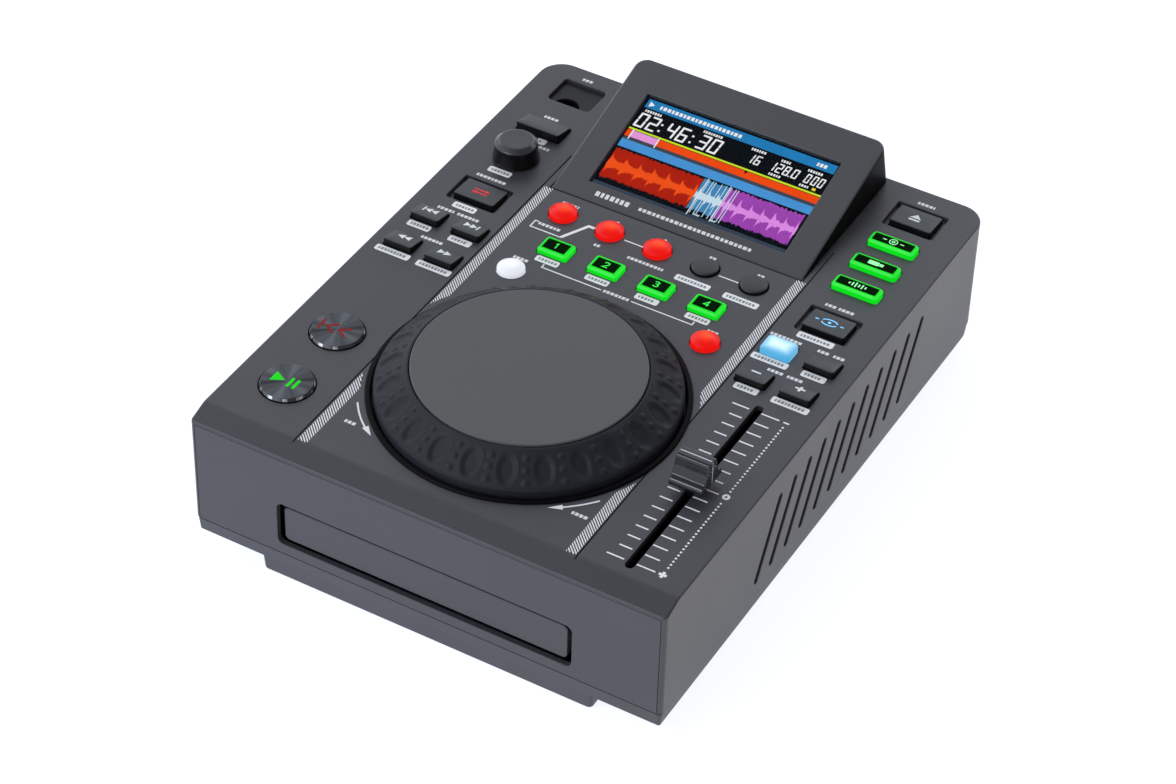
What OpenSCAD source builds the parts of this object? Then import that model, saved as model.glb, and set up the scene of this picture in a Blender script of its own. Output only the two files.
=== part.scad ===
// Tabletop DJ CD player: sloping-edged console with a tray-loading disc drive,
// a large jog wheel, a tilted display, a long tempo fader and sprung keys.
// Millimetres. +Z up, +Y to the rear, +X to the right. The origin is on the
// supporting surface, under the centre of the case.

/* [Case] */
// Width of the case, left to right
body_w = 220; // [218:0.5:226]
// Depth of the case, front to back
body_d = 290; // [290:0.5:294]
// Height of the seam between the upper and the lower shell
seam_z = 15; // [15:0.1:15.5]
// Height of the flat control panel
panel_z = 71.2; // [71.2:0.1:71.6]
// Wall thickness of the upper shell
wall = 2.5; // [2.2:0.1:2.8]
// Depth of the bevel along the front edge
bevel_d = 10.3; // [8:0.1:12]
// Drop of the bevel from the panel to the front face
bevel_drop = 3.1; // [2.5:0.1:3.6]
// Radius of the front vertical corners
front_r = 2; // [1:0.5:4]
// Radius of the back vertical corners
back_r = 11.5; // [8:0.5:14]

/* [Jog wheel] */
// Radius of the rubber rim at its widest
jog_r = 63.5; // [62:0.5:63.5]
// Radius of the flat top plate
plate_r = 48.6; // [44:0.2:48.6]
// Height of the top plate above the panel
plate_h = 14.9; // [14:0.1:16]
// Distance of the wheel's centre in front of the case's centre
jog_back = 62; // [61:0.5:62.5]

/* [Display] */
// Width of the display housing
disp_w = 123.6; // [118:0.2:124]
// Length of the sloping face
disp_l = 81.8; // [81:0.1:82]
// Tilt of the face above the panel
disp_tilt = 15.8; // [14:0.1:17]
// Width of the window
lens_w = 96; // [90:0.5:98]
// Length of the window along the face
lens_l = 53.7; // [50:0.1:55]

/* [Controls] */
// Gap between a cap and its hole
key_gap = 0.35; // [0.3:0.05:0.5]
// Width of a small key
key_w = 14.2; // [13:0.1:14.6]
// Depth of a small key
key_d = 10.1; // [9:0.1:10.4]
// Height of a small key's front edge above the panel
key_h = 3.1; // [2.6:0.1:4]
// Diameter of a domed button
dome_d = 12.2; // [12:0.1:13.2]
// Diameter of the two transport buttons
transport_d = 23.3; // [22:0.1:24]
// Travel of the tempo fader
fader_travel = 100; // [80:1:100]

/* [Disc drive] */
// Width of the tray's front bezel
bezel_w = 132.8; // [128:0.2:134]
// Height of the tray's front bezel
bezel_h = 17.4; // [17:0.1:17.8]
// Radius of the recess for a 120 mm disc
disc_r = 60.5; // [60.3:0.1:60.6]
// Teeth on the tray's drive gear
gear_teeth = 16; // [16:1:16]
// Gear module
gear_m = 1; // [1:0.1:1]

/* [Hidden] */
$fn = 96;

hw = body_w / 2;
hd = body_d / 2;
skin_z = panel_z - wall;          // underside of the panel
jy = -jog_back;                   // wheel centre, y
well_z = panel_z - 6;             // floor of the well under the wheel
board_z = panel_z - 10.6;         // top of the control board
sw_z = board_z + 3.7;             // top of a switch's plunger
fy = -76.3;                         // fader cap's rest position
fader_x = 84.6;
fader_mid = -75.05;
slot_l = 110.5;
dx = -39;                         // tray gear axis
dyg = -128;
disc_y = -76;                     // disc centre with the tray shut
pivot_y = 26;                     // traverse pivot
pivot_z = 12;
knob = [-85.5, 70.9];
usb_c = [-86.1, 125.8];
plug_x = 56;                      // mains inlet centre
rock_x = 78;                      // power rocker centre
rock_y = 131;
rock_z = 38;
tray_z = 26;

small_keys = [[-96, 15.7], [-75.5, 15.7], [-96, -5.8], [-75.5, -6.1],
              [74.4, 15.2], [94.9, 15.5], [74, -5.6], [94.4, -5.5]];
small_w = key_w - 0.4;            // width of the small grey keys
domes = [[-47.6, 47.1], [-24.1, 46.6], [-0.6, 46.5], [22.6, 46.8], [45.9, 47.1],
         [-47.5, 3], [46, 3.4]];
hot_cues = [[-37.4, 24], [-12.9, 24], [11.5, 23.9], [35.8, 23.8]];
sources = [[84.6, 101.8], [84.6, 84.5], [84.6, 67.3]];
source_w = 21.6;
squares = [[-85.6, 40.6, 24.4, 17.7], [84.7, 40.6, 24.2, 17.6], [84.7, 123.6, 24.2, 17.9]];
transports = [[-86.8, -108.7], [-87.4, -70.5]];
back_key = [-86, 95.6, 21.6, 11.9];
case_bolts = [for (sx = [-1, 1], y = [-134, -45, 128]) [sx * (hw - (y > 100 ? 8.5 : 9)), y]];
drive_lugs = [for (sx = [-1, 1], y = [-105, 40]) [sx * 81, y]];
foot_xy = [for (sx = [-1, 1], sy = [-1, 1]) [sx * 88, sy * 121]];
board_bolts = [[-88, 80], [-90, 112], [14, 80], [14, 112]];
supply_bolts = [[34, 78], [92, 78], [34, 120], [92, 108]];
board_posts = [[-101, 60], [-101, -95], [101, 60], [101, 112], [-76, -22], [66, 55], [-66, 55]];

// ---------- small helpers ----------
module box(x0, x1, y0, y1, z0, z1) translate([x0, y0, z0]) cube([x1 - x0, y1 - y0, z1 - z0]);

// rounded rectangle centred on the origin
module rr(w, d, r) {
    square([w - 2 * r, d], center = true);
    square([w, d - 2 * r], center = true);
    for (sx = [-1, 1], sy = [-1, 1]) translate([sx * (w / 2 - r), sy * (d / 2 - r)]) circle(r);
}

// case outline with small front and large back corners
module plan(w, d, rf, rb) {
    translate([-w / 2, -d / 2 + rf]) square([w, d - rf - rb]);
    translate([-w / 2 + rf, -d / 2]) square([w - 2 * rf, d / 2]);
    translate([-w / 2 + rb, 0]) square([w - 2 * rb, d / 2]);
    for (s = [-1, 1]) {
        translate([s * (w / 2 - rf), -d / 2 + rf]) circle(rf);
        translate([s * (w / 2 - rb), d / 2 - rb]) circle(rb);
    }
}

// a (y, z) outline extruded along x
module along_x(x0, x1) translate([x0, 0, 0]) rotate([90, 0, 90]) linear_extrude(x1 - x0) children();

// an (x, z) outline extruded along y
module along_y(y0, y1) translate([0, y1, 0]) rotate([90, 0, 0]) linear_extrude(y1 - y0) children();

// the display face's own frame: x right, y up the slope, z out of the face
module on_display() translate([0, 61, panel_z + 0.3]) rotate([disp_tilt, 0, 0]) children();

module slot2d(l, w) { square([l - w, w], center = true); for (s = [-1, 1]) translate([s * (l - w) / 2, 0]) circle(w / 2); }

module screw(p, z_head, z_tip, up = true) translate([p[0], p[1], 0]) {
    translate([0, 0, min(z_head, z_tip)]) cylinder(r = 1.5, h = abs(z_tip - z_head));
    translate([0, 0, up ? z_head - 2.1 : z_head]) difference() {
        cylinder(r = 2.8, h = 2.1);
        for (a = [0, 90]) rotate(a) translate([-1.6, -0.35, up ? -1 : 1.1]) cube([3.2, 0.7, 2]);
    }
}

// involute gear outline with thinned teeth, one tooth centred on +x
function inv_pt(rb, t) = [rb * (cos(t) + t * PI / 180 * sin(t)), rb * (sin(t) - t * PI / 180 * cos(t))];
function rot2(p, a) = [p[0] * cos(a) - p[1] * sin(a), p[0] * sin(a) + p[1] * cos(a)];
module gear2d(m, n, play = 0.12) {
    rp = m * n / 2; rb = rp * cos(20); ra = rp + m; rf = rp - 1.25 * m;
    tp = sqrt(pow(rp / rb, 2) - 1) * 180 / PI;             // roll angle at the pitch circle
    ta = sqrt(pow(ra / rb, 2) - 1) * 180 / PI;             // roll angle at the tip
    inv20 = tp - atan(tp * PI / 180);
    half = 90 / n - play / rp * 180 / PI / 2 + inv20;
    flank = [for (i = [0:6]) rot2(inv_pt(rb, ta * i / 6), -half)];
    mirrored = [for (i = [6:-1:0]) [flank[i][0], -flank[i][1]]];
    root_a = 180 / n;
    pts = [for (k = [0:n - 1]) each [for (p = concat([rot2([rf, 0], -root_a)],
        [rot2([rf, 0], -half)], flank, mirrored, [rot2([rf, 0], half)])) rot2(p, k * 360 / n)]];
    polygon(pts);
}

// ---------- fixed shells ----------
module top_case() color([0.37, 0.37, 0.39]) difference() {
    union() {
        difference() {
            // outer skin: plan outline under the side profile
            intersection() {
                translate([0, 0, seam_z]) linear_extrude(80) plan(body_w, body_d, front_r, back_r);
                along_x(-hw - 1, hw + 1) polygon([[-hd, seam_z], [hd, seam_z], [hd, panel_z],
                    [-hd + bevel_d, panel_z], [-hd, panel_z - bevel_drop]]);
            }
            intersection() {
                translate([0, 0, seam_z - 1]) linear_extrude(80)
                    plan(body_w - 2 * wall, body_d - 2 * wall, 1, back_r - wall);
                along_x(-hw, hw) polygon([[-hd + wall, seam_z - 1], [hd - wall, seam_z - 1], [hd - wall, skin_z],
                    [-hd + bevel_d + 0.4, skin_z], [-hd + wall, skin_z - bevel_drop + 0.6]]);
            }
        }
        // well and bearing boss under the jog wheel
        translate([0, jy, well_z - 2.5]) cylinder(r = 68.6, h = panel_z - well_z + 2);
        translate([0, jy, 52.5]) cylinder(r = 11, h = well_z - 52.5);
        // bosses for the case screws
        for (p = case_bolts) translate([p[0], p[1], 10.3]) cylinder(r = 4, h = skin_z - 10.2);
        // posts for the control board
        for (p = board_posts) translate([p[0], p[1], board_z]) cylinder(r = 2.6, h = skin_z - board_z + 0.5);
        // shelves behind the sunk square keys, well of the memory-stick bay
        for (q = squares) translate([q[0], q[1], panel_z - 4.4]) linear_extrude(3) rr(q[2] + 3, q[3] + 3, 2.5);
        translate([usb_c[0], usb_c[1], 61.5]) linear_extrude(8.5) rr(25, 21, 3);
        // rear recess around the connectors
        box(-96.5, 96.5, 136.3, hd - 1, 15.6, 62.5);
    }
    // front opening for the tray
    translate([0, -hd - 1, 0]) rotate([-90, 0, 0]) translate([0, -(20.6 + 42.7) / 2, 0])
        linear_extrude(wall + 2) rr(138.2, 22.1, 3);
    // jog wheel well, shaft bore
    translate([0, jy, well_z]) cylinder(r = 66.6, h = 20);
    translate([0, jy, 50]) cylinder(r = 8, h = 30);
    // screw bosses
    for (p = case_bolts) translate([p[0], p[1], 9]) cylinder(r = 1.55, h = 20);
    // key holes
    for (k = small_keys) translate([k[0], k[1], 60]) linear_extrude(20) rr(small_w + 2 * key_gap, key_d + 2 * key_gap, 1);
    for (k = hot_cues) translate([k[0], k[1], 60]) linear_extrude(20) rr(key_w + 2 * key_gap, key_d + 2 * key_gap, 1);
    for (k = domes) translate([k[0], k[1], 60]) cylinder(r = dome_d / 2 + key_gap, h = 20);
    for (k = transports) translate([k[0], k[1], 60]) cylinder(r = transport_d / 2 + key_gap, h = 20);
    for (k = sources) translate([k[0], k[1], 60]) linear_extrude(20) rr(source_w + 2 * key_gap, 8 + 2 * key_gap, 1.6);
    translate([back_key[0], back_key[1], 60]) linear_extrude(20) rr(back_key[2] + 2 * key_gap, back_key[3] + 2 * key_gap, 1);
    for (q = squares) translate([q[0], q[1], 0]) {
        translate([0, 0, panel_z - 2.2]) linear_extrude(20) rr(q[2], q[3], 1.2);
        translate([0, 0.5, 60]) linear_extrude(20) rr(q[2] - 4.4 + 2 * key_gap, q[3] - 4.4 + 2 * key_gap, 1);
    }
    // fader slot, knob hole
    translate([fader_x, fader_mid, 60]) linear_extrude(20) rotate(90) slot2d(slot_l, 3.8);
    translate([knob[0], knob[1], 60]) cylinder(r = 3.75, h = 20);
    // memory-stick bay with its hinge bores
    translate([usb_c[0], usb_c[1], 63]) linear_extrude(20) rr(21.4, 17.4, 2.2);
    translate([usb_c[0], usb_c[1], 60]) linear_extrude(5) rr(14, 6.6, 0.6);
    translate([usb_c[0] - 12, usb_c[1] + 6.6, panel_z - 2.6]) rotate([0, 90, 0]) cylinder(r = 0.65, h = 24, $fn = 32);
    // grooves beside the hatched strips
    for (x = [-65.5, 64.7]) translate([x - 0.35, -hd - 1, panel_z - 0.8]) cube([0.7, hd + 86, 3]);
    // opening under the display
    box(-54.5, 54.5, 63.5, 137, 60, 80);
    // rear connector opening
    box(-94, 94, 130, hd + 1, 18, 60);
    // slanted vents in both side walls
    for (s = [-1, 1], i = [0:10]) translate([s * (hw - 4.5), -58 + i * 13, 40.5]) rotate([90, 0, 90])
        linear_extrude(9, center = true) rotate(62) slot2d(40, 3.4);
}

module bottom_case() color([0.34, 0.34, 0.36]) difference() {
    union() {
        intersection() {
            translate([0, 0, 8]) linear_extrude(seam_z - 8.1) plan(body_w - 0.6, body_d - 0.6, front_r, back_r - 0.3);
            along_x(-hw, hw) polygon([[-hd + 0.3, seam_z], [-hd + 0.9, 8], [hd - 0.9, 8], [hd - 0.3, seam_z]]);
            along_y(-hd, hd) polygon([[-hw + 0.3, seam_z], [-hw + 0.9, 8], [hw - 0.9, 8], [hw - 0.3, seam_z]]);
        }
        // bay for the drive, standing down under the middle
        intersection() {
            along_x(-78.5, 78.5) polygon([[-hd + 0.5, 8.5], [-hd + 1, 0.6], [67, 0.6], [68, 8.5]]);
            along_y(-hd, hd) polygon([[-78.5, 8.5], [-78, 0.6], [78, 0.6], [78.5, 8.5]]);
        }
        for (p = foot_xy) translate([p[0], p[1], 8]) cylinder(r = 4, h = 5);
    }
    // hollow inside
    difference() {
        translate([0, 0, 10]) linear_extrude(20) plan(body_w - 7, body_d - 7, 2, back_r - 3.5);
        for (p = foot_xy) translate([p[0], p[1], 8]) cylinder(r = 4, h = 5);
        // posts under the boards
        for (p = board_bolts) translate([p[0], p[1], 9]) cylinder(r = 3, h = 10.95);
        for (p = supply_bolts) translate([p[0], p[1], 9]) cylinder(r = 3, h = 6.95);
    }
    box(-74.8, 74.8, -hd + 5, 65, 3.2, 12);
    for (p = case_bolts) translate([p[0], p[1], 0]) cylinder(r = 1.6, h = 20);
    for (p = concat(foot_xy, drive_lugs)) translate([p[0], p[1], 0]) cylinder(r = 1.55, h = 13.5);
    for (p = concat(board_bolts, supply_bolts)) translate([p[0], p[1], 10.5]) cylinder(r = 1.55, h = 20);
    // vents under the boards
    for (i = [0:8], s = [-1, 1]) translate([s * 50 + (i - 4) * 7, 100, 0]) linear_extrude(12) rotate(90) slot2d(24, 2.4);
}

module rear_panel() color([0.16, 0.16, 0.17]) difference() {
    box(-98, 98, 134.6, 136.1, 10.3, 61.2);
    for (x = [-80, -62, -44]) translate([x, 130, 31]) rotate([-90, 0, 0]) cylinder(r = 4.6, h = 10);
    box(-22.4, -9.6, 130, 140, 21.2, 36);
    translate([10, 130, 28]) rotate([-90, 0, 0]) cylinder(r = 3.4, h = 10);
    box(41.8, 90.2, 130, 140, 25.8, 50.2);
}

module feet() color([0.09, 0.09, 0.09]) for (p = foot_xy) translate([p[0], p[1], 0]) rotate_extrude()
    polygon([[4.2, 0], [7.2, 0], [8, 1], [8, 7.95], [1.55, 7.95], [1.55, 4.2], [4.2, 4.2]]);

module case_screws() color([0.55, 0.55, 0.57]) {
    for (p = case_bolts) screw(p, 7.9, 26);
    for (p = foot_xy) screw(p, 4.1, 12.5);
    for (p = drive_lugs) screw(p, 12.75, 8.4, false);
    for (p = board_bolts) screw(p, 21.65, 12, false);
    for (p = supply_bolts) screw(p, 17.65, 12, false);
}

module display_housing() color([0.33, 0.33, 0.35]) difference() {
    union() intersection() {
        along_x(-disp_w / 2, disp_w / 2) polygon([[61, panel_z + 0.05], [61, panel_z + 0.3],
            [61 + disp_l * cos(disp_tilt), panel_z + 0.3 + disp_l * sin(disp_tilt)], [142.6, panel_z + 17],
            [144.4, panel_z + 0.05]]);
        on_display() translate([0, 0, -60]) linear_extrude(80) {
            translate([-disp_w / 2, -30]) square([disp_w, disp_l + 30 - 6]);
            translate([-disp_w / 2 + 6, 0]) square([disp_w - 12, disp_l]);
            for (s = [-1, 1]) translate([s * (disp_w / 2 - 6), disp_l - 6]) circle(6);
        }
    }
    // hollow
    intersection() {
        along_x(-disp_w / 2 + 2.4, disp_w / 2 - 2.4) polygon([[64, panel_z - 1], [64, panel_z + 0.2], [66, panel_z + 0.2],
            [61 + (disp_l - 5) * cos(disp_tilt), panel_z - 2.3 + (disp_l - 3) * sin(disp_tilt)], [140, panel_z + 15], [141.5, panel_z - 1]]);
        on_display() translate([-100, -20, -80]) cube([200, 120, 80 - 2.6]);
    }
    // window
    on_display() translate([0, 9.9 + lens_l / 2, -10]) linear_extrude(20) square([lens_w + 0.3, lens_l + 0.3], center = true);
    on_display() translate([0, 9.9 + lens_l / 2, -10.8]) linear_extrude(8) square([107, 68.4], center = true);
}

module display_lens() color([0.1, 0.12, 0.15, 0.5]) on_display() translate([0, 9.9 + lens_l / 2, -1.7])
    linear_extrude(1.5) square([lens_w, lens_l], center = true);

module lcd_module() color([0.6, 0.62, 0.65]) on_display() translate([0, 9.9 + lens_l / 2, 0]) {
    translate([0, 0, -6.2]) linear_extrude(3) square([105.5, 67.2], center = true);
    translate([0, 1.4, -2.9]) linear_extrude(0.9) square([lens_w - 1, lens_l - 4], center = true);
    translate([0, 4, -8.3]) linear_extrude(1.6) square([90, 50], center = true);
}

// ---------- electronics ----------
module rca(x) translate([x, 0, 31]) rotate([-90, 0, 0]) {
    translate([-6.5, -7, 119]) cube([13, 16, 15.2]);
    translate([0, 0, 134.2]) difference() { cylinder(r = 4.15, h = 10); translate([0, 0, 1]) cylinder(r = 1.6, h = 10, $fn = 32); }
}

module main_board() color([0.05, 0.3, 0.14]) {
    difference() {
        box(-97, 20, 74, 133.8, 20, 21.6);
        for (p = board_bolts) translate([p[0], p[1], 10]) cylinder(r = 1.6, h = 20);
        for (p = case_bolts) translate([p[0], p[1], 10]) cylinder(r = 5, h = 20);
    }
    for (x = [-80, -62, -44]) rca(x);
    // device port and remote-start jack
    difference() {
        box(-22, -10, 120, 138, 21.6, 35.6);
        box(-20.2, -11.8, 129, 139, 25.2, 33);
    }
    box(-18.8, -13.2, 128, 137, 27.4, 30.6);
    difference() {
        union() { box(4, 16, 121, 134.2, 21.6, 33.6); translate([10, 134, 28]) rotate([-90, 0, 0]) cylinder(r = 3.1, h = 3.4); }
        translate([10, 126, 28]) rotate([-90, 0, 0]) cylinder(r = 1.8, h = 20, $fn = 32);
    }
    // processor, memory, power parts
    for (b = [[-60, 92, 14, 14, 1.6], [-38, 94, 10, 16, 1.2], [-18, 96, 12, 8, 1.5], [6, 92, 9, 9, 4], [-76, 90, 8, 8, 6]])
        translate([b[0] - b[2] / 2, b[1] - b[3] / 2, 21.6]) cube([b[2], b[3], b[4]]);
    for (x = [-30, -2], y = [108]) translate([x, y, 21.6]) cylinder(r = 3.2, h = 9);
}

module tact(x, y) translate([x, y, board_z]) {
    translate([-3, -3, 0]) cube([6, 6, 3.3]);
    cylinder(r = 1.75, h = 3.7, $fn = 32);
}

module panel_boards() color([0.06, 0.28, 0.13]) {
    difference() {
        translate([0, 0, board_z - 1.6]) linear_extrude(1.55) {
            translate([-104, -132]) square([33, 246]);
            translate([-104, -8]) square([208, 68]);
            translate([70, -8]) square([34, 141]);
        }
        translate([0, jy, 40]) cylinder(r = 70, h = 40);
        for (p = case_bolts) translate([p[0], p[1], 40]) cylinder(r = 5, h = 40);
        translate([usb_c[0], usb_c[1], 40]) cube([27, 22, 60], center = true);
    }
    for (k = concat(small_keys, domes, hot_cues, sources, transports)) tact(k[0], k[1]);
    for (q = squares) tact(q[0], q[1]);
    tact(back_key[0], back_key[1]);
    // push encoder
    translate([knob[0], knob[1], board_z]) difference() {
        union() { translate([-6, -6, 0]) cube([12, 12, 6.6]); cylinder(r = 3.5, h = 11); }
        translate([0, 0, -1]) cylinder(r = 3.05, h = 20);
        translate([0, 0, 0.2]) cylinder(r = 4.1, h = 3.8);
    }
    // memory-stick socket on its own small board
    difference() { box(usb_c[0] - 8.6, usb_c[0] + 9, usb_c[1] - 8, usb_c[1] + 6, 48, 49.6);
        translate([usb_c[0] - 6.6, usb_c[1] - 6, 40]) cylinder(r = 1.1, h = 20, $fn = 32); }
    translate([usb_c[0], usb_c[1], 49.6]) difference() {
        translate([-6.55, -2.85, 0]) cube([13.1, 5.7, 13.3]);
        translate([-6.1, -2.4, 1]) cube([12.2, 4.8, 20]);
    }
    translate([usb_c[0] - 5.6, usb_c[1] + 0.2, 49.6]) cube([11.2, 1.8, 12]);
    // wheel sensor board with its fork around the code disc
    translate([0, jy, 0]) difference() {
        union() { box(14, 36, -8, 8, 52.6, 54.2); box(15, 21, -4, 4, 47.5, 52.7); }
        box(10, 19, -5, 5, 49.4, 51.7);
    }
}

module power_supply() color([0.1, 0.33, 0.16]) {
    difference() {
        box(28, 98, 72, 126, 16, 17.6);
        for (p = supply_bolts) translate([p[0], p[1], 10]) cylinder(r = 1.6, h = 20);
        translate([case_bolts[5][0], case_bolts[5][1], 0]) cylinder(r = 6, h = 40);
    }
    box(52, 78, 84, 106, 17.6, 38);
    box(84, 88, 84, 102, 17.6, 40);
    translate([42, 90, 17.6]) cylinder(r = 6.5, h = 26);
    translate([42, 108, 17.6]) cylinder(r = 4, h = 16);
    box(64, 80, 110, 116, 17.6, 27);
}

module power_inlet() color([0.1, 0.1, 0.1]) translate([0, 0, 0]) difference() {
    union() {
        box(42, 90, 119, 136.1, 26, 50);
        translate([66, 136.1, 38]) rotate([-90, 0, 0]) linear_extrude(1.6) rr(54, 28, 3);
    }
    // figure-eight socket with its pins left standing
    difference() {
        translate([plug_x, 124, rock_z]) rotate([-90, 0, 0]) linear_extrude(20) slot2d(18.6, 9.8);
        for (s = [-1, 1]) translate([plug_x + s * 4.3, 123, rock_z]) rotate([-90, 0, 0]) cylinder(r = 1.2, h = 11.5, $fn = 32);
    }
    // rocker space and its pivot bores
    box(rock_x - 7, rock_x + 7, 121, 145, rock_z - 10.3, rock_z + 10.3);
    translate([rock_x - 9, rock_y, rock_z]) rotate([0, 90, 0]) cylinder(r = 1.25, h = 18, $fn = 32);
}

module power_rocker() color([0.75, 0.08, 0.06]) translate([0, rock_y, rock_z]) rotate([-7, 0, 0]) {
    along_x(rock_x - 6.6, rock_x + 6.6) polygon([[-2, -7.6], [7.6, -8.8], [6.3, 0], [7.6, 8.8], [-2, 7.6]]);
    translate([rock_x - 8.6, 0, 0]) rotate([0, 90, 0]) cylinder(r = 1.2, h = 17.2, $fn = 32);
}

module usb_cover() color([0.13, 0.13, 0.14]) {
    py = usb_c[1] + 6.6; pz = panel_z - 2.6;
    difference() {
        union() {
            translate([usb_c[0], usb_c[1] - 0.9, pz - 0.5]) linear_extrude(1.3) rr(20.6, 15, 2.2);
            translate([usb_c[0] - 9.8, py, pz]) rotate([0, 90, 0]) cylinder(r = 0.95, h = 19.6, $fn = 32);
            translate([usb_c[0] - 11.6, py, pz]) rotate([0, 90, 0]) cylinder(r = 0.6, h = 23.2, $fn = 32);
        }
        translate([usb_c[0] - 1.2, usb_c[1] - 8.6, pz - 2]) cylinder(r = 6.3, h = 6);
    }
}

// ---------- jog wheel ----------
module jog_collar() color([0.05, 0.05, 0.055]) translate([0, jy, panel_z]) rotate_extrude()
    polygon([[64.3, -4.9], [66.4, -4.9], [66.4, 0.05], [66.95, 0.05], [66.95, 0.6], [66.4, 1.1], [64.9, 1.1], [64.3, 0.6]]);

module jog_bearing() color([0.7, 0.7, 0.72]) translate([0, jy, 0]) rotate_extrude()
    polygon([[4.05, 53], [8, 53], [8, well_z + 0.02], [10.5, well_z + 0.02], [10.5, well_z + 1.4], [4.05, well_z + 1.4]]);

module jog_wheel() color([0.2, 0.2, 0.21]) translate([0, jy, panel_z]) rotate_extrude($fn = 144)
    polygon([[jog_r, -4.6], [jog_r, 3.6], [jog_r - 0.7, 4.9], [plate_r + 1.9, 13.8], [plate_r + 1.2, 14.2],
        [plate_r + 0.35, 14.2], [plate_r + 0.35, 12.3], [4.1, 12.3], [4.1, 10.2], [plate_r + 1.6, 10.2],
        [jog_r - 2.6, 0.8], [jog_r - 2.6, -4.6]]);

module jog_plate() color([0.38, 0.38, 0.4]) translate([0, jy, panel_z]) rotate_extrude($fn = 144)
    polygon([[0, 12.4], [plate_r, 12.4], [plate_r, plate_h - 0.4], [plate_r - 0.4, plate_h], [0, plate_h]]);

module jog_hub() color([0.75, 0.75, 0.77]) translate([0, jy, 0]) {
    rotate_extrude() polygon([[0, 48.5], [17.6, 50], [17.6, 51], [5, 51], [5, 52.2], [4, 52.2],
        [4, well_z + 3], [9, well_z + 12.6], [9, panel_z + 10.15], [4, panel_z + 10.15], [4, panel_z + 12], [0, panel_z + 12]]);
}

// ---------- fader and knob ----------
module fader_cap() color([0.25, 0.27, 0.3]) translate([fader_x, fy, 0]) {
    // hand piece: a high centre ridge with hollow flanks running down to two lips
    difference() {
        translate([0, 0, panel_z]) along_x(-7.5, 7.5) polygon([[-8.6, 4.6], [8.6, 4.6], [8.6, 7], [8.1, 7.6], [7, 8],
            [6, 8.7], [5.1, 9.9], [4.4, 11.4], [3.9, 13.2], [3.4, 15], [3.1, 16], [2.4, 16.6],
            [-2.4, 16.6], [-3.1, 16], [-3.4, 15], [-3.9, 13.2], [-4.4, 11.4], [-5.1, 9.9], [-6, 8.7],
            [-7, 8], [-8.1, 7.6], [-8.6, 7]]);
        translate([-1.55, -4.05, 60]) cube([3.1, 8.1, panel_z - 60 + 8.5]);
    }
    // lever and carriage that run in the fader's channel
    translate([-1.5, -4, 60]) cube([3, 8, panel_z - 60 + 8.4]);
    translate([-5, -6, 58.6]) cube([10, 12, 5]);
}

module fader_body() color([0.5, 0.5, 0.52]) translate([fader_x, fader_mid, 0]) difference() {
    translate([-6.5, -64, 57]) cube([13, 125, 9.4]);
    translate([-5.3, -62, 58.3]) cube([10.6, 121, 6.1]);
    translate([-2.3, -57, 60]) cube([4.6, 114, 10]);
}

module encoder_knob() color([0.17, 0.17, 0.18]) translate([knob[0], knob[1], 0]) {
    rotate_extrude() polygon([[0, 62.4], [3, 62.4], [3, panel_z + 6.6], [8.0, panel_z + 6.6], [8.6, panel_z + 0.8],
        [10.5, panel_z + 0.8], [10.5, panel_z + 1.6], [9.9, panel_z + 4.5], [9.6, panel_z + 8.2], [9.4, panel_z + 8.8],
        [7.7, panel_z + 10.2], [7, panel_z + 10.4], [0, panel_z + 10.4]]);
}

module encoder_plunger() color([0.85, 0.85, 0.8]) translate([knob[0], knob[1], board_z + 0.75 + 0.05])
    cylinder(r = 3.6, h = 0.9);

// ---------- disc drive ----------
module drive_chassis() color([0.5, 0.51, 0.53]) {
    difference() {
        union() {
            for (s = [-1, 1]) {
                box(min(s * 67.3, s * 70.3), max(s * 67.3, s * 70.3), -138.6, 62, 5, 44);
                // rails above and below the tray's flange
                box(min(s * 64.3, s * 67.4), max(s * 64.3, s * 67.4), -138.6, 59, 23.4, 25.6);
                box(min(s * 64.3, s * 67.4), max(s * 64.3, s * 67.4), -138.6, 59, 28.5, 30.5);
                // pivot brackets for the traverse
                box(min(s * 47.6, s * 51), max(s * 47.6, s * 51), pivot_y - 5, pivot_y + 5, 6, 17);
                translate([min(s * 43.6, s * 48), pivot_y, pivot_z]) rotate([0, 90, 0]) cylinder(r = 2, h = 4.4);
                for (y = [-105, 40]) box(min(s * 70, s * 87), max(s * 70, s * 87), y - 7, y + 7, 10.2, 12.7);
            }
            box(-70.3, 70.3, 59, 62, 5, 44);
            box(-68, 68, -138.6, 60, 5, 6.8);
            box(-68, 68, -102, -50, 37.6, 39.4);
        }
        box(-47, 47, -98, 38, 0, 10);
        box(-30, 30, -134, -108, 0, 10);
        translate([0, disc_y, 30]) cylinder(r = 12.2, h = 20);
        for (p = drive_lugs) translate([p[0], p[1], 0]) cylinder(r = 1.6, h = 20);
        for (s = [-1, 1]) translate([s * 69, -30, 34]) rotate([0, 90, 0]) linear_extrude(6, center = true) rr(12, 60, 3);
    }
    // geared tray motor standing on the floor
    difference() {
        translate([dx, dyg, 6.8]) cylinder(r = 9.4, h = 15);
        translate([dx, dyg, 12]) cylinder(r = 1.55, h = 20, $fn = 32);
    }
}

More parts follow.
